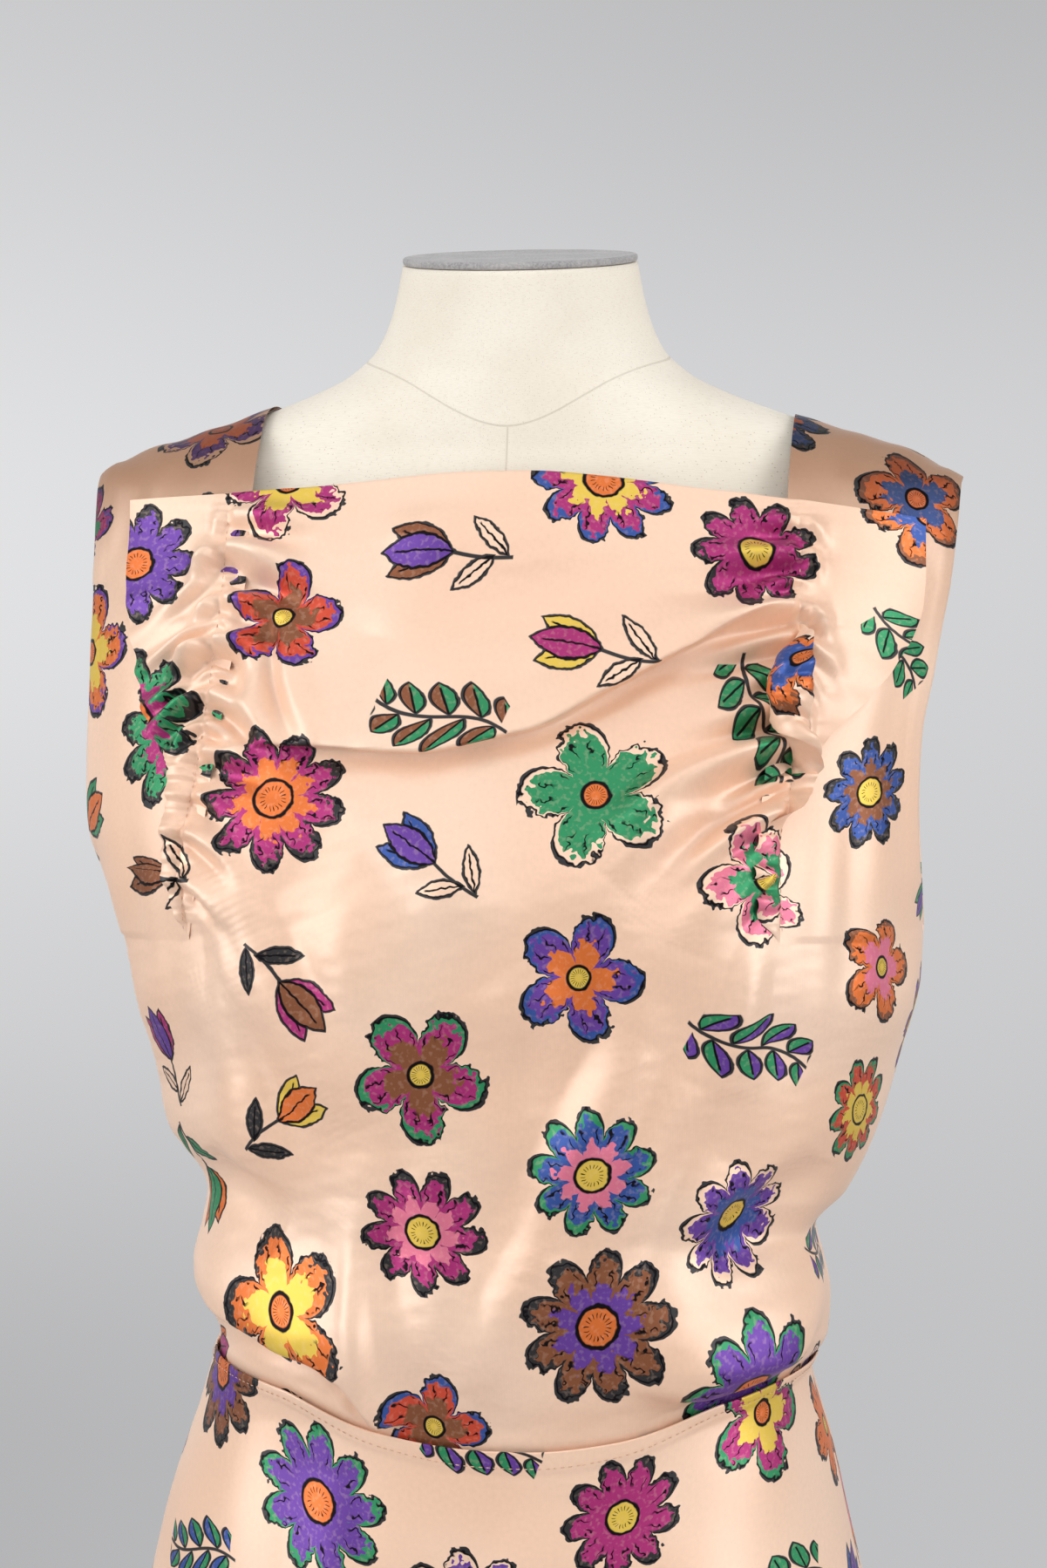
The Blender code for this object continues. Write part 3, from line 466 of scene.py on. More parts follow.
def hungStrip(root, along, normal, shape, columns, power=1.0):
    # strip from a line of roots: its way turns from the first angle to the second over the width
    share = np.linspace(0, 1, columns)
    setOff, ending, width = (shape[:, k:k + 1] for k in range(3))
    bend = np.radians(setOff + (ending - setOff) * share ** power)
    out, up = (np.cumsum(f(bend), axis=1) * width / (columns - 1) for f in (np.cos, np.sin))
    return raised(raised(root[:, None], along[:, None], out - out[:, :1]), normal[:, None], up - up[:, :1])


def bodiceFlap(front, side, heights, joined, joinedPlan):
    # free edge outside the gathering line: a wide flap near the neckline, laid on the strap, and a narrow
    # header below
    line, free = (sided(table, side, heights)[:, None] for table in (gatherLine, freeEdge))
    share = np.linspace(0, 1, front["flapColumns"])
    x = line + (free - line) * share
    climb = np.linspace(0, 1, len(heights))[:, None]
    z = heights[:, None] + (track(neckline, x) - track(neckline, line)) * climb ** 3
    flat = ringPoint(gownRows, angleAt(x, z), z)
    normal = outward(flat[:, ::side])[:, ::side]
    lift = front["overlap"] * ease(slashFoot, 1.190, z) + gatherRelief(side, x, z)
    flute = np.sin(2 * math.pi * (z + 0.45 * (x - line) * side) / 0.019 + 0.8) * (1 - ease(1.318, 1.345, z))
    lift += front["flute"][side] * flute * ease(0.1, 0.7, share) + 0.0009 * share * (1 + np.sin(z * 95 + 1.0))
    flap = raised(flat, normal, np.maximum(lift, 0.0013 * ease(slashFoot, 1.185, z)))
    flap += (joined - flap[:, 0])[:, None] * ((1 - share) ** 2)[:, None]
    shape = np.stack([track(header[side], heights, k) for k in (1, 2, 3)], axis=-1)
    shape[:, 0] += 14 * np.sin(heights * 2 * math.pi / 0.013)
    shape[:, 2] *= ease(slashFoot - 0.004, slashFoot + 0.012, heights)
    hung = hungStrip(joined, unit(flat[:, 3] - flat[:, 0]), normal[:, 0], shape, front["flapColumns"])
    low = (1 - ease(1.246, 1.270, heights))[:, None]
    flap += (hung - flap) * low[..., None]
    plan = joinedPlan[:, None] + np.stack([x - line, 0 * x], axis=-1)
    plan[..., 0] += low * (side * share * shape[:, 2:] - (x - line))
    flap[:, 0] = joined
    return flap[:, ::side], plan[:, ::side]


def bodiceLoop(loop, joined, joinedPlan, heights):
    # roll of loose cloth that stands over the left gathering line, narrow above, open below
    share = np.linspace(0, 1, loop["rows"])
    z = loop["foot"] + (loop["top"] - loop["foot"]) * share
    root, base = (np.stack([np.interp(z, heights, column) for column in grid.T], axis=-1)
                  for grid in (joined, joinedPlan))
    spot, beside = (ringPoint(gownRows, angleAt(root[:, 0] + step, z), z) for step in (0, 0.004))
    along = unit(beside - spot)
    normal = unit(np.cross(along, np.gradient(spot, axis=0)))
    shape = np.stack([track(loopRows, share, k) for k in (1, 2, 3)], axis=-1)
    made = hungStrip(root + normal * 0.0006, along, normal, shape, loop["columns"], loop["power"])
    way = np.linspace(0, 1, loop["columns"]) * shape[:, 2:]
    made[..., 2] -= loop["sag"] * way + 0.0010 * np.sin(way * 260 + 6 * share[:, None]) * ease(0, 0.01, way)
    wrinkle = 0.0007 * np.sin(way * 330 + 14 * share[:, None]) * ease(0, 0.01, way)
    made = raised(made, normal[:, None], wrinkle)
    return made, base[:, None] + np.stack([way, 0 * way], axis=-1) + loop["print"]


def bodiceStrap(front, side):
    # side front and strap in one, from the slash's foot to the shoulder seam, its inner edge under the flap
    share = np.linspace(0, 1, front["side"])
    z = (slashFoot + (strapTurn - slashFoot) * np.linspace(0, 1, 90))[:, None] + 0 * share
    edge = angleAt(sided(strapEdge, side, z), z)
    body = ringPoint(gownRows, edge + (armAngle(side, z) - edge) * share, z)
    x = body[..., 0]
    lift = front["fold"] * foldRelief(frontFolds, x, z) * (1 - ease(slashFoot, 1.2, z))
    lift = foldRelief(sideFolds, x, z) + lift
    lift = lift * (1 - 0.7 * ease(0.80, 1.0, share)) + ripple(x, z, 13, 0.040, 0.00028)
    fromArm = (1 - share) * np.abs(sided(armEdge, side, z) - sided(strapEdge, side, z))
    lift += 0.0007 * ease(0.0100, 0.0078, fromArm) * ease(1.19, 1.24, z)
    turn = np.linspace(0, math.pi / 2, 60)[1:, None]
    top = strapTop[side] + (sided(armEdge, side, armEdge[-1, 0]) - strapTop[side]) * share
    upper = overShoulder(x[-1] + (top - x[-1]) * np.sin(turn), turn + 0 * share, False)
    wrinkle = 1 + np.sin(2 * math.pi * (share * 3.3 + 0.5 * np.sin(2.4 * turn)))
    wrinkle = 0.00080 * wrinkle * np.sin(2 * turn)
    wrinkle += 0.0007 * ease(0.0100, 0.0078, fromArm[-1]) * (1 - ease(1.2, 1.5, turn))
    flat, lift = np.concatenate([body, upper])[:, ::side], np.concatenate([lift, wrinkle])[:, ::side]
    # painted shade: darker from 1.30 m up over the shoulder, standing in for the shade on the straps
    tint = 0.75 * ease(1.345, 1.395, flat[..., 2]) + 0.25 * ease(1.300, 1.345, flat[..., 2])
    return raised(flat, outward(flat), lift), cutPlan(flat, -1 if side < 0 else 0), tint


# back bodice
back = {"columns": 110, "side": 30, "rows": 220, "ripple": 0.0006, "wave": 0.060, "print": (0.418, 0.137)}
backFolds = (
    (-60, 1180, -50, 1100, -66, 1030, 13, 14, 3.2), (34, 1160, 46, 1090, 32, 1025, 12, 14, 3),
    (92, 1200, 84, 1120, 94, 1040, 12, 13, 2.8), (-110, 1230, -100, 1160, -108, 1090, 10, 13, 2.4),
    (-10, 1120, -4, 1070, -14, 1015, 10, 12, 2.4), (-120, 1330, -60, 1290, 0, 1300, 10, 14, 1.6),
    (120, 1320, 70, 1290, 30, 1250, 10, 14, 1.6), (130, 1100, 118, 1060, 120, 1015, 9, 11, 2))
backCreases = (
    ((-150, -90, -30, 40, 100, 150), (990, 985, 982, 980, 984, 990), (9, 7.5, 6, 20, 30, 30)),
)


def backAngle(share, z):
    # from the middle of the back; share 1 and -1 are the straps' inner edges, 2 and -2 the armholes and
    # side seams
    inner = angleAt(np.clip(share, -1, 1) * np.minimum(backStrap, 0.66 * sided(gownRows, share, z)), z)
    return math.pi - inner - (armAngle(share, z) - inner) * np.clip(np.abs(share) - 1, 0, 1)


def bodiceBack(back):
    # body up to the straps' turn, rays over the shoulders up to the neckline, then one strap on each side
    side = back["side"]
    sides = np.linspace(1, 2, side)[1:]
    share = np.concatenate([-sides[::-1], np.linspace(-1, 1, back["columns"]), sides])[::-1]
    start = seamHeight(share, backAngle)
    z = start - 0.005 + (strapTurn - start + 0.005) * np.linspace(0, 1, back["rows"])[:, None]
    angle = backAngle(share, z)
    flat = ringPoint(gownRows, angle, z)
    x = flat[..., 0]
    lift, drop = overhang(backCreases, x, z)
    lift += foldRelief(backFolds, x, z) + ripple(x, z, 31, back["wave"], back["ripple"])
    body = bloused(angle, share, z, start, (lift, drop), 1.5, 0.010)
    # the last row's relief fades out up to the neckline
    wing = 1 - ease(1.5, 1.98, np.abs(share))
    level = math.atan2(backNeck - strapTurn, 0.104)
    turn = np.linspace(0, level, 22)[1:, None]
    shoulder = overShoulder(x[-1] + 0 * turn, turn + 0 * x[-1], True)
    normal = outward(np.concatenate([flat[-1:], shoulder]))[1:]
    upper = raised(shoulder, normal, lift[-1] * wing * (1 - ease(0, level, turn)))
    whole, plan = np.concatenate([body, upper]), cutPlan(np.concatenate([flat, shoulder]), len(share) // 2)
    blocks = []
    for pick, hem in ((slice(side - 1, side - 1 + back["columns"]), "top"), (slice(0, side), "first"),
                      (slice(-side, None), "last")):
        blocks.append((*turnedHem(whole[:, pick], plan[:, pick], hem), 0))
    turn = np.linspace(level, math.pi / 2, 46)[:, None]
    for end, pick, hem in ((1, slice(0, side), "first"), (-1, slice(-side, None), "last")):
        part = np.linspace(0, 1, side)[::-end]
        top = strapTop[end] + (sided(armEdge, end, armEdge[-1, 0]) - strapTop[end]) * part
        way = (np.sin(turn) - math.sin(level)) / (1 - math.sin(level))
        strap = overShoulder(x[-1, pick] + (top - x[-1, pick]) * way, turn + 0 * part, True)
        strap, strapPlan = turnedHem(strap, cutPlan(strap, 0) + plan[-1, pick][0], hem)
        # painted shade on the back straps, darker above 1.345 m
        blocks.append((strap, strapPlan, 0.75 * ease(1.345, 1.395, strap[..., 2])))
    return meshPiece("bodiceBack", blocks, back["print"], 0.0002)


# skirt: two flared halves, lapped over the bodice at the waist
skirt = {"columns": 200, "rows": 420, "flutes": 7, "flute": 0.026, "fluteTop": 0.780, "lap": 0.0012,
         "frontPrint": (0.206, 0.063), "backPrint": (0.877, 0.291)}
skirtFolds = (
    (-118, 955, -112, 900, -120, 820, 16, 24, 2.2), (-76, 935, -82, 890, -60, 830, 12, 24, 2.4),
    (30, 925, 20, 880, -10, 820, 18, 30, 2.4), (104, 945, 108, 890, 120, 810, 18, 26, 2.2),
    (60, 930, 64, 870, 70, 800, 18, 28, -1.6))


def stitchDrop(angle):
    # how far the stitching runs below the lapped edge, deepest in the middle of the front
    return 0.0030 + 0.0042 * np.exp(-((np.degrees(angle) - 4) / 24) ** 2)


def lapHeight(angle):
    # the skirt's upper edge lies a hair above the waist seam
    return track(waistSeam, np.degrees(angle)) + 0.0004


def skirtHalf(name, skirt, isBack):
    # rings from the waist seam to the hem with flutes that grow downwards, a lapped edge, and a dent at
    # its stitching
    turn = np.linspace(-math.pi / 2, math.pi / 2, skirt["columns"])
    angle, end = (turn + math.pi, -1) if isBack else (turn, 1)
    top = lapHeight(angle)
    z = top + (gownRows[0, 0] - top) * (np.linspace(1, 0, skirt["rows"]) ** 1.25)[:, None]
    below = top - z
    panel = ringPoint(gownRows, angle, z)
    grown = (1 - ease(0.03, skirt["fluteTop"], z)) ** 1.3
    wave = np.cos(2 * skirt["flutes"] * angle + 0.9 * np.sin(2 * angle + 0.4) + 0.5 * np.sin(3 * angle))
    lift = end * skirt["flute"] * grown * wave * (1 + 0.28 * np.sin(3 * angle + 1.0))
    lift = lift + foldRelief(skirtFolds, panel[..., 0] * end, z) * ease(0.0, 0.02, below)
    lift += ripple(angle * 0.16, z, 51 if isBack else 47, 0.075, 0.0007) * ease(0.0, 0.03, below)
    lift = lift * ease(0, 0.22, math.pi / 2 - np.abs(turn))
    run = stitchDrop(angle)
    dent = 0.00035 * np.exp(-((below - run) / 0.0008) ** 2)
    lift += skirt["lap"] * (1 - ease(run, run + 0.004, below)) - dent
    plan = cutPlan(panel, skirt["columns"] // 2)
    plan[..., 1] -= plan[-1, 0, 1]
    made, plan = turnedHem(raised(panel, outward(panel), lift), plan, "top", 0.004)
    made, plan = turnedHem(made, plan, "foot", 0.016)
    return meshPiece(name, [(made, plan, 0)], skirt["backPrint" if isBack else "frontPrint"], -0.0002 * end)


# rows of hand-run stitches
stitching = {"length": 0.0021, "gap": 0.0013, "thick": 0.00024, "proud": 0.00012, "margin": 0.0004}


def stitchRow(name, line, normal, stitching):
    # short spindles along a line: ring k of each stitch has radius thick x sin(pi k)^0.4 round the line's
    # own direction
    way = np.cumsum(np.linalg.norm(np.diff(line, axis=0, prepend=line[:1]), axis=1))
    pitch = stitching["length"] + stitching["gap"]
    count = int(way[-1] / pitch)
    dice = np.random.default_rng(len(name))
    begin = (np.arange(count) + 0.15 * dice.uniform(-1, 1, count)) * pitch + stitching["margin"]
    share, ringAngle = np.linspace(0, 1, 6), np.linspace(0, 2 * math.pi, 7)[:, None]
    at = begin[:, None] + stitching["length"] * share
    spot, up = (np.stack([np.interp(at, way, column) for column in grid.T], axis=-1)
                for grid in (line, normal))
    up = unit(up)
    across = np.cross(up, unit(np.gradient(spot, axis=1)))
    radius = stitching["thick"] * (np.abs(np.sin(math.pi * share)) ** 0.4)[:, None, None]
    centre = raised(spot, up, stitching["proud"] * np.sin(math.pi * share))
    ring = across[:, :, None] * np.cos(ringAngle) + up[:, :, None] * np.sin(ringAngle)
    points = centre[:, :, None] + radius * ring
    blocks = [(points[k], np.stack(np.meshgrid(np.linspace(0, 0.001, 7), at[k]), axis=-1), 0)
              for k in range(count)]
    piece = meshPiece(name, blocks)
    piece.data.materials.append(paleThread)
    return piece


def seamStitches(name, side):
    # along the gathering line, from the slash's foot to just under the neckline
    z = np.linspace(1.180, 1.374, 240)
    flat, beside = (ringPoint(gownRows, angleAt(sided(gatherLine, side, z) + step, z), z)
                    for step in (0, 0.002))
    normal = unit(np.cross(beside - flat, np.gradient(flat, axis=0)))
    return stitchRow(name, flat + normal * (front["overlap"] + 0.00035), normal, stitching)


def waistStitches(name, middle):
    # a run just below the lapped edge, following the waist seam; the normal is that of an ellipse
    angle = middle + np.linspace(-math.pi / 2 + 0.01, math.pi / 2 - 0.01, 500) * (-1 if middle else 1)
    line = ringPoint(gownRows, angle, lapHeight(angle) - stitchDrop(angle))
    normal = unit(line * (1 / 0.15 ** 2, 1 / 0.12 ** 2, 0))
    return stitchRow(name, line + normal * (skirt["lap"] + 0.0001), normal, stitching)


# padded linen form
form = {"columns": 260, "rows": 300, "capColumns": 200, "neckStart": 1.440, "neckTilt": 0.19}
# felt cap's rings: share of the neck's size, rise in millimetres
capRings = ((0, 0.3), (0.975, 0.3), (0.992, 0.6), (1, 1.3), (1.003, 2.2), (1, 3.1), (0.99, 3.8), (0.975, 4),
            (0.94, 3.8), (0.85, 3.5), (0.5, 3.2), (0, 3.1))


def formBody(form):
    # rings of the padded figure, the neck leaning, closed below and above by rings that shrink to the
    # middle
    angle = np.linspace(-math.pi, math.pi, form["columns"])
    z = np.linspace(0, 1, form["rows"])[:, None] + 0 * angle
    z = formRows[0, 0] + (formRows[-1, 0] - formRows[0, 0]) * z
    points = ringPoint(formRows, angle, z)
    swell = ripple(points[..., 0], z + points[..., 1], 61, 0.09, 0.00035)
    swell = swell * ease(0.80, 0.86, z) * (1 - ease(1.36, 1.39, z))
    points = raised(points, outward(points), np.minimum(swell, 0))
    points[..., 2] += form["neckTilt"] * ease(form["neckStart"], formRows[-1, 0], z) * points[..., 1]
    points[:, -1] = points[:, 0]
    foot = [points[0] * (s, s, 1) for s in (0.0, 0.5, 0.90)]
    head = [points[-1] * (s, s, 1) for s in (0.97, 0.5, 0.0)]
    for level in head:
        level[:, 2] = formRows[-1, 0] + form["neckTilt"] * level[:, 1]
    points = np.array([*foot, *points, *head])
    return meshPiece("formBody", [(points, cutPlan(points, form["columns"] // 2), 0)])


def formCap(form):
    # grey felt disc on the neck, its edge rounded, its middle a little sunk
    angle = np.linspace(-math.pi, math.pi, form["capColumns"])
    size, rise = np.array(capRings).T[:, :, None]
    rim = ringPoint(formRows, angle, np.full_like(angle, formRows[-1, 0]))
    points = rim * np.stack([size, size, 1 + 0 * size], axis=-1)
    points[..., 2] += form["neckTilt"] * points[..., 1] + rise / 1000
    points[:, -1] = points[:, 0]
    return meshPiece("formCap", [(points, cutPlan(points, form["capColumns"] // 2), 0)])


# finishes
def operator(operation, reflected=False):
    # method that adds one node for the socket and the other value, the other way round where it is
    # reflected
    def made(self, other):
        return self.join(operation, *((other, self) if reflected else (self, other)))
    return made


class Wire:
    # a socket in an expression: each operator adds one Math node, or Vector Math where a vector takes
    # part; abs(a) is its absolute value and a | b the larger of two masks
    def __init__(self, finish, socket):
        self.finish, self.socket = finish, socket

    def join(self, operation, first, second):
        vectors = any(isinstance(w, Wire) and w.socket.type == "VECTOR" for w in (first, second))
        kind = "ShaderNodeVectorMath" if vectors else "ShaderNodeMath"
        return self.finish.node(kind, {"operation": operation}, {0: first, 1: second})

    def __abs__(self):
        return self.finish.math("ABSOLUTE", self)

    __add__, __radd__ = operator("ADD"), operator("ADD", True)
    __sub__, __rsub__ = operator("SUBTRACT"), operator("SUBTRACT", True)
    __mul__, __rmul__ = operator("MULTIPLY"), operator("MULTIPLY", True)
    __truediv__, __pow__, __or__ = operator("DIVIDE"), operator("POWER"), operator("MAXIMUM")
    __lt__, __gt__ = operator("LESS_THAN"), operator("GREATER_THAN")


class Finish:
    # one material or world; node() adds any node with its settings first and then its values or links
    def __init__(self, name, kind="materials", shader="Principled BSDF", **constants):
        made = getattr(bpy.data, kind).new(name)
        made.use_nodes = True
        self.made, self.tree, self.shader = made, made.node_tree, made.node_tree.nodes[shader]
        for key, value in constants.items():
            self.shader.inputs[key.replace("_", " ")].default_value = value

    def node(self, kind, settings, values, output=0):
        made = self.tree.nodes.new(kind)
        for key, value in settings.items():
            if key == "stops":
                made.color_ramp.interpolation = "CONSTANT"
                for place, _ in value[2:]:
                    made.color_ramp.elements.new(place)
                for element, (place, colour) in zip(made.color_ramp.elements, value):
                    element.position, element.color = place, (*colour, 1)
            else:
                setattr(made, key, value)
        for key, value in values.items():
            socket = made.inputs[key]
            if isinstance(value, Wire):
                self.tree.links.new(value.socket, socket)
            elif socket.type == "VECTOR" and isinstance(value, (int, float)):
                socket.default_value = (value,) * 3
            else:
                socket.default_value = (*value, 1) if socket.type == "RGBA" else value
        return Wire(self, made.outputs[output])

    def math(self, operation, *values):
        return self.node("ShaderNodeMath", {"operation": operation}, dict(enumerate(values)))

    def step(self, value, low, high, start=0.0, end=1.0):
        # smooth step of a value from start at low to end at high
        return self.node("ShaderNodeMapRange", {"interpolation_type": "SMOOTHSTEP"},
                         {0: value, 1: low, 2: high, 3: start, 4: end})

    def fall(self, value, low, high):
        # smooth step from 1 at low down to 0 at high
        return self.step(value, low, high, 1.0, 0.0)

    def mix(self, factor, first, second, mode="MIX"):
        settings = {"data_type": "RGBA", "blend_type": mode}
        return self.node("ShaderNodeMix", settings, {0: factor, 6: first, 7: second}, 2)

    def pick(self, factor, first, second):
        return self.node("ShaderNodeMix", {"data_type": "FLOAT"}, {0: factor, 2: first, 3: second})

    def place(self, output="Object"):
        return self.node("ShaderNodeTexCoord", {}, {}, output)

    def noise(self, vector, scale, detail=2.0, rough=0.5, space="3D"):
        return self.node("ShaderNodeTexNoise", {"noise_dimensions": space},
                         {"Vector": vector, "Scale": scale, "Detail": detail, "Roughness": rough})

    def split(self, vector):
        outputs = self.node("ShaderNodeSeparateXYZ", {}, {0: vector}).socket.node.outputs
        return [Wire(self, socket) for socket in outputs]

    def join(self, x, y):
        return self.node("ShaderNodeCombineXYZ", {}, {0: x, 1: y})

    def bump(self, height, strength, distance):
        return self.node("ShaderNodeBump", {}, {"Strength": strength, "Distance": distance, "Height": height})

    def feed(self, **wires):
        for key, wire in wires.items():
            self.tree.links.new(wire.socket, self.shader.inputs[key.replace("_", " ")])
        return self.made


inks = {"purple": (0.130, 0.035, 0.330), "blue": (0.020, 0.075, 0.330), "magenta": (0.420, 0.012, 0.170),
        "orange": (0.760, 0.170, 0.020), "vermilion": (0.640, 0.060, 0.020), "brown": (0.250, 0.075, 0.022),
        "yellow": (0.800, 0.560, 0.070), "green": (0.012, 0.270, 0.100), "pink": (0.780, 0.190, 0.300)}
# shade is the colour that the painted shade on the straps multiplies in
cloth = {"across": 0.073, "up": 0.078, "size": (0.0265, 0.0364), "ground": (0.910, 0.600, 0.425),
         "pale": (0.935, 0.660, 0.490), "ink": (0.010, 0.008, 0.010), "worn": (0.270, 0.150, 0.090),
         "shade": (0.47, 0.37, 0.29), "seed": 4.0}


def scatter(finish, x, y, cloth):
    # half-drop repeat: one motif a cell, moved, turned and sized by white noise; returns its own x, y and
    # dice
    u, v = (x - 0.012) / cloth["across"], (y - 0.020) / cloth["up"]
    column = finish.math("FLOOR", u)
    v = v + 0.5 * finish.math("PINGPONG", column, 1.0)
    row = finish.math("FLOOR", v)
    low, high = cloth["size"]
    cell = finish.join(column + cloth["seed"], row - cloth["seed"])
    dice = []
    for vector in (cell, cell + 37.0):
        throw = finish.node("ShaderNodeTexWhiteNoise", {"noise_dimensions": "2D"}, {"Vector": vector}, 1)
        dice += finish.split(throw)
    size = low + (high - low) * dice[0]
    dx = (u - column - 0.5) * cloth["across"] - (dice[1] - 0.5) * 2.0 * (cloth["across"] / 2 - size)
    dy = (v - row - 0.5) * cloth["up"] - (dice[2] - 0.5) * 2.0 * (cloth["up"] / 2 - size)
    turn = dice[3] * 2 * math.pi
    cosine, sine = finish.math("COSINE", turn), finish.math("SINE", turn)
    return (dx * cosine + dy * sine) / size, (dy * cosine - dx * sine) / size, dice


def drawnMotifs(finish, x, y, dice, wobble):
    # blossom, sprig or bud in a unit disc; each gives how full, how inked, and which zone of colour
    away = finish.math("SQRT", x * x + y * y) * (1 + 0.16 * (wobble - 0.5))
    angle = finish.math("ARCTAN2", y, x)

    def blossom():
        # five broad petals or nine narrow ones, with a rim, broken veins and a dotted heart
        many = dice[4] > 0.34
        half, inner, heart = (finish.pick(many, *pair) for pair in ((2.5, 4.5), (0.40, 0.58), (0.17, 0.26)))
        lobe = abs(finish.math("COSINE", angle * half + 0.5 * (wobble - 0.5)))
        reach = inner + (0.96 - inner) * lobe ** 0.68
        part = away / reach
        stroke = abs(finish.math("SINE", angle * finish.pick(many, 10.0, 9.0) + 3.0 * wobble))
        rim = finish.fall(abs(reach - away), 0.028, 0.050)
        vein = finish.fall(stroke, 0.16, 0.34) * finish.step(part, 0.52, 0.62)
        vein = vein * finish.fall(part + 0.5 * wobble, 0.98, 1.10)
        ring = finish.fall(abs(away - heart), 0.015, 0.035)
        dots = finish.fall(stroke, 0.25, 0.45) * finish.fall(abs(away - 0.55 * heart), 0.02, 0.045)
        zone = (part + 0.30 * (wobble - 0.5) > 0.58) + (part + 0.20 * (wobble - 0.5) > 0.86)
        core = away < heart
        ink = (rim | vein) | (ring | dots)
        return finish.fall(part, 0.985, 1.0), ink * (part < 1.04), zone * (1 - core) + 3.0 * core

    def leaf(lx, ly, length, wide):
        # lens of the given length along x from 0: half width is wide x 4 t (1 - t)
        t = lx / length
        half = wide * 4.0 * t * (1 - t)
        gap = half - abs(ly)
        full = finish.step(gap, 0.0, 0.012)
        vein = finish.fall(abs(ly), 0.010, 0.022) * full * finish.fall(t, 0.80, 0.86)
        return full, finish.fall(abs(gap), 0.016, 0.032) * (half > -0.02) | vein

    def sprig():
        # paired leaves slanting off a curved stem
        bent = y - 0.16 * finish.math("SINE", x * 2.4)
        side = abs(bent)
        slide = (x - 0.75 * side) * 2.3 + 0.25 * finish.math("SIGN", bent)
        across = (finish.math("FRACT", slide) - 0.5) * 0.34
        full, ink = leaf(side * 1.25 - 0.03, across * (1 + 0.2 * wobble), 0.62 - 0.26 * abs(x), 0.155)
        inside = finish.fall(abs(x - 0.05), 0.86, 0.88)
        stem = finish.fall(side, 0.018, 0.032) * finish.fall(abs(x), 0.93, 0.95)
        return full * inside, ink * inside | stem, finish.step(across + 0.04 * wobble, 0.0, 0.03)

    def bud():
        # a closed cup of lens petals on a long stem with two leaves lower down; both sides come from |x|
        parts, side = [], abs(x)
        lower = y + 0.80 + 0.10 * finish.math("SIGN", x)
        for across, climb, tilt, length, wide in (
                (side, y + 0.12, 0.36, 0.98, 0.20), (x, y + 0.14, 0.0, 1.06, 0.24),
                (side, lower, 0.76, 0.76, 0.125)):
            cosine, sine = math.cos(tilt), math.sin(tilt)
            parts.append(leaf(climb * cosine + across * sine,
                              across * cosine - climb * sine + 0.05 * (wobble - 0.5), length, wide))
        (outer, outerInk), (inner, innerInk), (green, greenInk) = parts
        stem = finish.fall(abs(x - 0.05 * finish.math("SINE", y * 3.0)), 0.020, 0.036)
        stem = stem * (y > -0.96) * (y < -0.10)
        ink = (greenInk | outerInk) * (1 - inner) | innerInk | stem
        return green | (outer | inner), ink, inner + 2.0 * green * (y < -0.12)

    chosen = blossom()
    for share, kind in ((0.56, sprig()), (0.78, bud())):
        chance = dice[4] > share
        chosen = [finish.pick(chance, old, new) for old, new in zip(chosen, kind)]
    return (*chosen, (dice[4] > 0.56) * (dice[4] < 0.78))


def inkColour(finish, dice, names):
    # even steps of ink: the dice times the number of names, rounded down, picks one
    stops = [(n / len(names), inks[name]) for n, name in enumerate(names)]
    return finish.node("ShaderNodeValToRGB", {"stops": stops}, {0: dice})


def printedSatin(name, cloth):
    # fine weave under a hand-inked print; the tint attribute is painted shade, darkening the straps where they
    # lie under the flaps and over the shoulders
    finish = Finish(name, IOR=1.65, Specular_IOR_Level=0.75, Sheen_Weight=0.08, Sheen_Roughness=0.4)
    place = finish.node("ShaderNodeUVMap", {"uv_map": "flatCut"}, {})
    x, y, _ = finish.split(place)
    fine, wide, wobble = (finish.noise(place, scale, 1.0, space="2D") for scale in (420.0, 9.0, 260.0))
    tint = finish.node("ShaderNodeAttribute", {"attribute_name": "tint"}, {}, "Fac")
    ground = finish.mix(finish.step(wide, 0.35, 0.70), cloth["ground"], cloth["pale"])
    ground = finish.mix(0.10 * fine, ground, cloth["worn"])
    mx, my, dice = scatter(finish, x + 0.0006 * (wobble - 0.5), y, cloth)
    full, ink, zone, leafy = drawnMotifs(finish, mx, my, dice, wobble)
    bright = inkColour(finish, dice[1], (
        "purple", "magenta", "orange", "blue", "vermilion", "purple", "orange", "green", "pink", "brown"))
    other = inkColour(finish, dice[5], (
        "pink", "yellow", "orange", "purple", "magenta", "blue", "brown", "yellow", "green"))
    leaves = inkColour(finish, dice[2], ("green", "blue", "brown", "green", "purple"))
    core = finish.mix(dice[0] > 0.5, inks["yellow"], inks["orange"])
    bright, other = finish.mix(leafy, bright, leaves), finish.mix(leafy, other, inks["green"])
    edging = finish.mix(dice[3] > 0.35, cloth["pale"], finish.mix(dice[3] > 0.62, leaves, cloth["ink"]))
    fill = finish.mix(zone > 0.5, other, bright)
    fill = finish.mix(zone > 1.5, fill, finish.mix(leafy, edging, leaves))
    fill = finish.mix(zone > 2.5, fill, core)
    # a hand-laid ink: a little streaky, thin in places
    fill = finish.mix(0.12 * finish.step(fine, 0.50, 0.75), fill, cloth["pale"])
    disc = finish.fall(mx * mx + my * my, 0.98, 1.0)
    full, inked = full * disc, ink * disc
    colour = finish.mix(inked, finish.mix(full, ground, fill), cloth["ink"])
    # painted shade: the colour is multiplied by cloth's shade colour where the tint attribute is set
    colour = finish.mix(tint, colour, finish.mix(1.0, colour, cloth["shade"], "MULTIPLY"))
    height = 0.3 * finish.math("SINE", x * 5600.0) + 0.5 * fine
    return finish.feed(Base_Color=colour, Roughness=0.43 + 0.06 * full + 0.05 * wide + 0.08 * tint,
                       Metallic=0.14 + 0.45 * full + 0.38 * inked, Normal=finish.bump(height, 0.035, 0.0004))


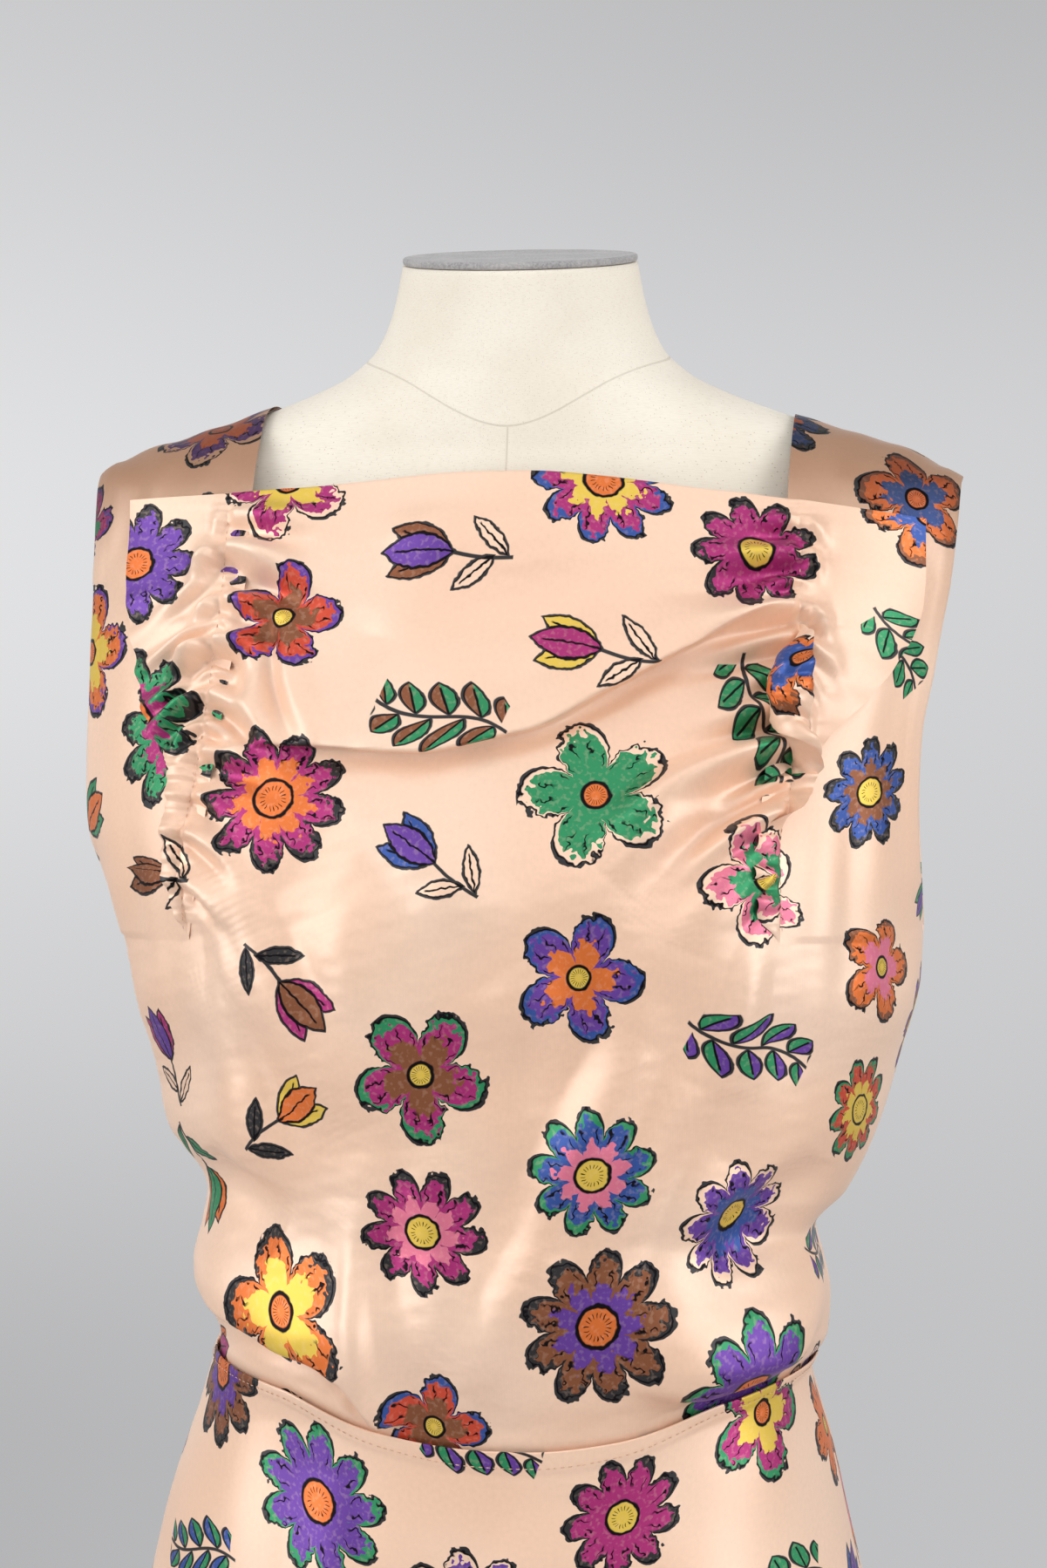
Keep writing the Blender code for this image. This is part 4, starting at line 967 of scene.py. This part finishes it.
linenLook = {"ground": ((0.800, 0.728, 0.612), (0.868, 0.808, 0.700)), "weft": (0.60, 0.52, 0.41),
             "warp": (0.86, 0.82, 0.74), "fleck": (0.30, 0.19, 0.11), "seam": (0.36, 0.29, 0.22)}


def linenCover(name, look):
    # plain weave unrolled round the form, a few flecks, and seams round the neck's base and down the middle
    finish = Finish(name, Specular_IOR_Level=0.25, Sheen_Weight=0.15)
    place = finish.place()
    x, y, z = finish.split(place)
    around = finish.math("ARCTAN2", x, y) * 0.12
    weft, warp = (finish.noise(finish.join(around * across, z * up), 1.0, 1.0, space="2D")
                  for across, up in ((220.0, 2600.0), (2600.0, 220.0)))
    wide = finish.noise(place, 14.0, 3.0)
    lay = finish.join(around, z) * 95.0
    flat = {"voronoi_dimensions": "2D"}
    fleck = finish.node("ShaderNodeTexVoronoi", flat, {"Vector": lay, "Randomness": 1.0})
    chance = finish.split(Wire(finish, fleck.socket.node.outputs["Color"]))[0]
    spot = finish.fall(fleck, 0.05, 0.13) * (chance > 0.72)
    neckSeam = 1.4130 + 0.0330 * finish.step(abs(x), 0.0, 0.078) + 0.0130 * finish.step(y, -0.045, 0.050)
    fromNeck, fromMiddle, below = abs(z - neckSeam), abs(x - 0.0004), z < neckSeam
    seam = finish.fall(fromNeck, 0.0002, 0.0007) | finish.fall(fromMiddle, 0.0002, 0.0006) * below
    roll = finish.fall(fromNeck, 0.001, 0.005) | finish.fall(fromMiddle, 0.001, 0.004) * below
    colour = finish.mix(finish.step(wide, 0.3, 0.7), *look["ground"])
    for amount, key in ((0.22 * finish.step(weft, 0.45, 0.80), "weft"),
                        (0.16 * finish.step(warp, 0.45, 0.80), "warp"),
                        (0.55 * spot, "fleck"), (0.30 * seam, "seam")):
        colour = finish.mix(amount, colour, look[key])
    height = 0.30 * weft + 0.30 * warp + 0.5 * roll - 1.0 * seam
    return finish.feed(Base_Color=colour, Roughness=0.86 + 0.08 * weft,
                       Normal=finish.bump(height, 0.35, 0.0008))


# each look: constants on the shader; scale and detail of its noises; two colours; patches as noise, low,
# high, amount and colour; roughness, its change with the tone and with the patches; bump's strength and
# depth
looks = {
    "greyFelt": {"shader": {"Specular_IOR_Level": 0.2, "Sheen_Weight": 0.3}, "tone": (900.0, 3.0),
                 "colours": ((0.26, 0.25, 0.25), (0.42, 0.41, 0.41)), "rough": (0.88, 0.08, 0.0),
                 "patch": ((60.0, 2.0), 0.4, 0.7, 0.4, (0.50, 0.48, 0.47)),
                 "grain": ((900.0, 3.0), 0.5, 0.0006)},
    "standPaint": {"shader": {"Specular_IOR_Level": 0.5}, "tone": (22.0, 3.0),
                   "colours": ((0.030, 0.030, 0.033), (0.055, 0.054, 0.056)), "rough": (0.36, 0.10, 0.20),
                   "patch": ((55.0, 5.0, 0.7), 0.66, 0.74, 0.5, (0.16, 0.155, 0.15)),
                   "grain": ((700.0, 3.0), 0.10, 0.0003)},
    "paleThread": {"shader": {"Specular_IOR_Level": 0.5, "Sheen_Weight": 0.3}, "tone": (1500.0, 2.0),
                   "colours": ((0.78, 0.52, 0.38), (0.55, 0.30, 0.18)), "rough": (0.45, 0.15)},
    "floorPaint": {"shader": {"Specular_IOR_Level": 0.2}, "tone": (1.3, 3.0),
                   "colours": ((0.60, 0.60, 0.61), (0.64, 0.64, 0.65)), "rough": (0.85, 0.05)}}


def grained(name):
    # a fine mix of two colours, with patches of a third and a bump where its look has them
    look = looks[name]
    finish = Finish(name, **look["shader"])
    place = finish.place()
    tone = finish.noise(place, *look["tone"])
    colour = finish.mix(finish.step(tone, 0.3, 0.7), *look["colours"])
    rough = look["rough"][0] + look["rough"][1] * tone
    if "patch" in look:
        noise, low, high, amount, patchColour = look["patch"]
        patch = finish.step(finish.noise(place, *noise), low, high)
        colour = finish.mix(amount * patch, colour, patchColour)
        rough = rough + look["rough"][2] * patch
        noise, strength, depth = look["grain"]
        finish.feed(Normal=finish.bump(finish.noise(place, *noise), strength, depth))
    return finish.feed(Base_Color=colour, Roughness=rough)


satin, linen = printedSatin("printedSatin", cloth), linenCover("linenCover", linenLook)
felt, paint, paleThread = grained("greyFelt"), grained("standPaint"), grained("paleThread")
print("finishes made")

# pieces
frontPiece, backPiece = bodiceFront(front), bodiceBack(back)
skirtFront, skirtBack = skirtHalf("skirtFront", skirt, False), skirtHalf("skirtBack", skirt, True)
formPiece, capPiece = formBody(form), formCap(form)
for piece, node, slot, finish in (
        (frontPiece, "front_bodice", "satin", satin), (backPiece, "back_bodice", "satin", satin),
        (skirtFront, "skirt_front", "satin", satin), (skirtBack, "skirt_back", "satin", satin),
        (formPiece, "form_torso", "linen", linen), (capPiece, "neck_cap", "felt", felt)):
    piece.data.materials.append(finish)
    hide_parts(node)
for name in ("stand_collar", "stand_pole", "stand_base"):
    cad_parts[name].data.materials.clear()
    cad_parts[name].data.materials.append(paint)
stitchRows = [seamStitches("gatherStitchesRight", -1), seamStitches("gatherStitchesLeft", 1)]
waistRows = [waistStitches("waistStitchesFront", 0), waistStitches("waistStitchesBack", math.pi)]
print("pieces made")

# floor and soft studio light; each lamp: place, watts, width, height and the height that it is aimed at
studio = {"floor": 3.9, "sky": (0.800, 0.803, 0.815), "dim": (0.19, 0.19, 0.195), "lamps": {
    "softboxLeft": ((-2.0, -1.35, 1.75), 45, 1.8, 2.3, 1.15),
    "softboxRight": ((2.1, -1.20, 1.70), 43, 1.8, 2.3, 1.15),
    "frontFill": ((0.2, -3.4, 2.7), 13, 2.0, 2.0, 1.2), "topFill": ((0.0, -0.8, 3.1), 13, 2.2, 2.0, 1.2),
    "backFill": ((0.0, 2.6, 2.0), 6, 1.6, 1.2, 1.2)}}


def addLight(name, spot, watts, width, height, aim):
    # area lamp that faces (0, 0, aim): its tilt is the angle from straight down, its turn the way round
    lamp = bpy.data.lights.new(name, "AREA")
    lamp.shape, lamp.size, lamp.size_y, lamp.energy = "RECTANGLE", width, height, watts
    light = addObject(name, lamp)
    light.location = spot
    way = np.array((0, 0, aim)) - np.array(spot)
    tilt, turn = math.acos(-way[2] / np.linalg.norm(way)), math.atan2(way[1], way[0]) - math.pi / 2
    light.rotation_euler = (tilt, 0, turn)


def addFloor(studio):
    # round flat disc, a hair under the stand
    angle, radius = np.linspace(0, 2 * math.pi, 97), np.linspace(0.0005, studio["floor"], 12)[::-1, None]
    points = np.stack([radius * np.cos(angle), radius * np.sin(angle), 0 * radius * angle - 0.0005], axis=-1)
    points[:, -1] = points[:, 0]
    mesh = bpy.data.meshes.new("studioFloor")
    mesh.from_pydata(points.reshape(-1, 3).tolist(), [], gridFaces(*points.shape[:2]).tolist())
    mesh.materials.append(grained("floorPaint"))
    addObject("studioFloor", mesh)


def studioGrey(name, studio):
    # pale behind the gown, palest at chest height and on the left, darker towards the camera, ceiling and
    # floor
    finish = Finish(name, "worlds", "Background", Strength=1.0)
    x, y, z = finish.split(finish.place("Generated"))
    rise = (z - 0.06) / 0.11
    left = finish.fall(x, -0.32, 0.05)
    glow = 0.42 + 0.33 * finish.math("EXPONENT", -1.0 * rise * rise)
    glow = glow + 0.20 * left * finish.step(z, -0.17, -0.05)
    glow = glow + 0.15 * (1 - left) * finish.fall(z, -0.08, 0.05)
    pale = glow * finish.step(y, -0.2, 0.8) * finish.step(abs(z - 0.03), 0.30, 0.85, 1.0, 0.35)
    return finish.feed(Color=finish.mix(pale, studio["dim"], studio["sky"]))


addFloor(studio)
for name, lamp in studio["lamps"].items():
    addLight(name, *lamp)
bpy.context.scene.world = studioGrey("studioGrey", studio)
bpy.context.scene.view_settings.view_transform = "Standard"
print("scene ready")
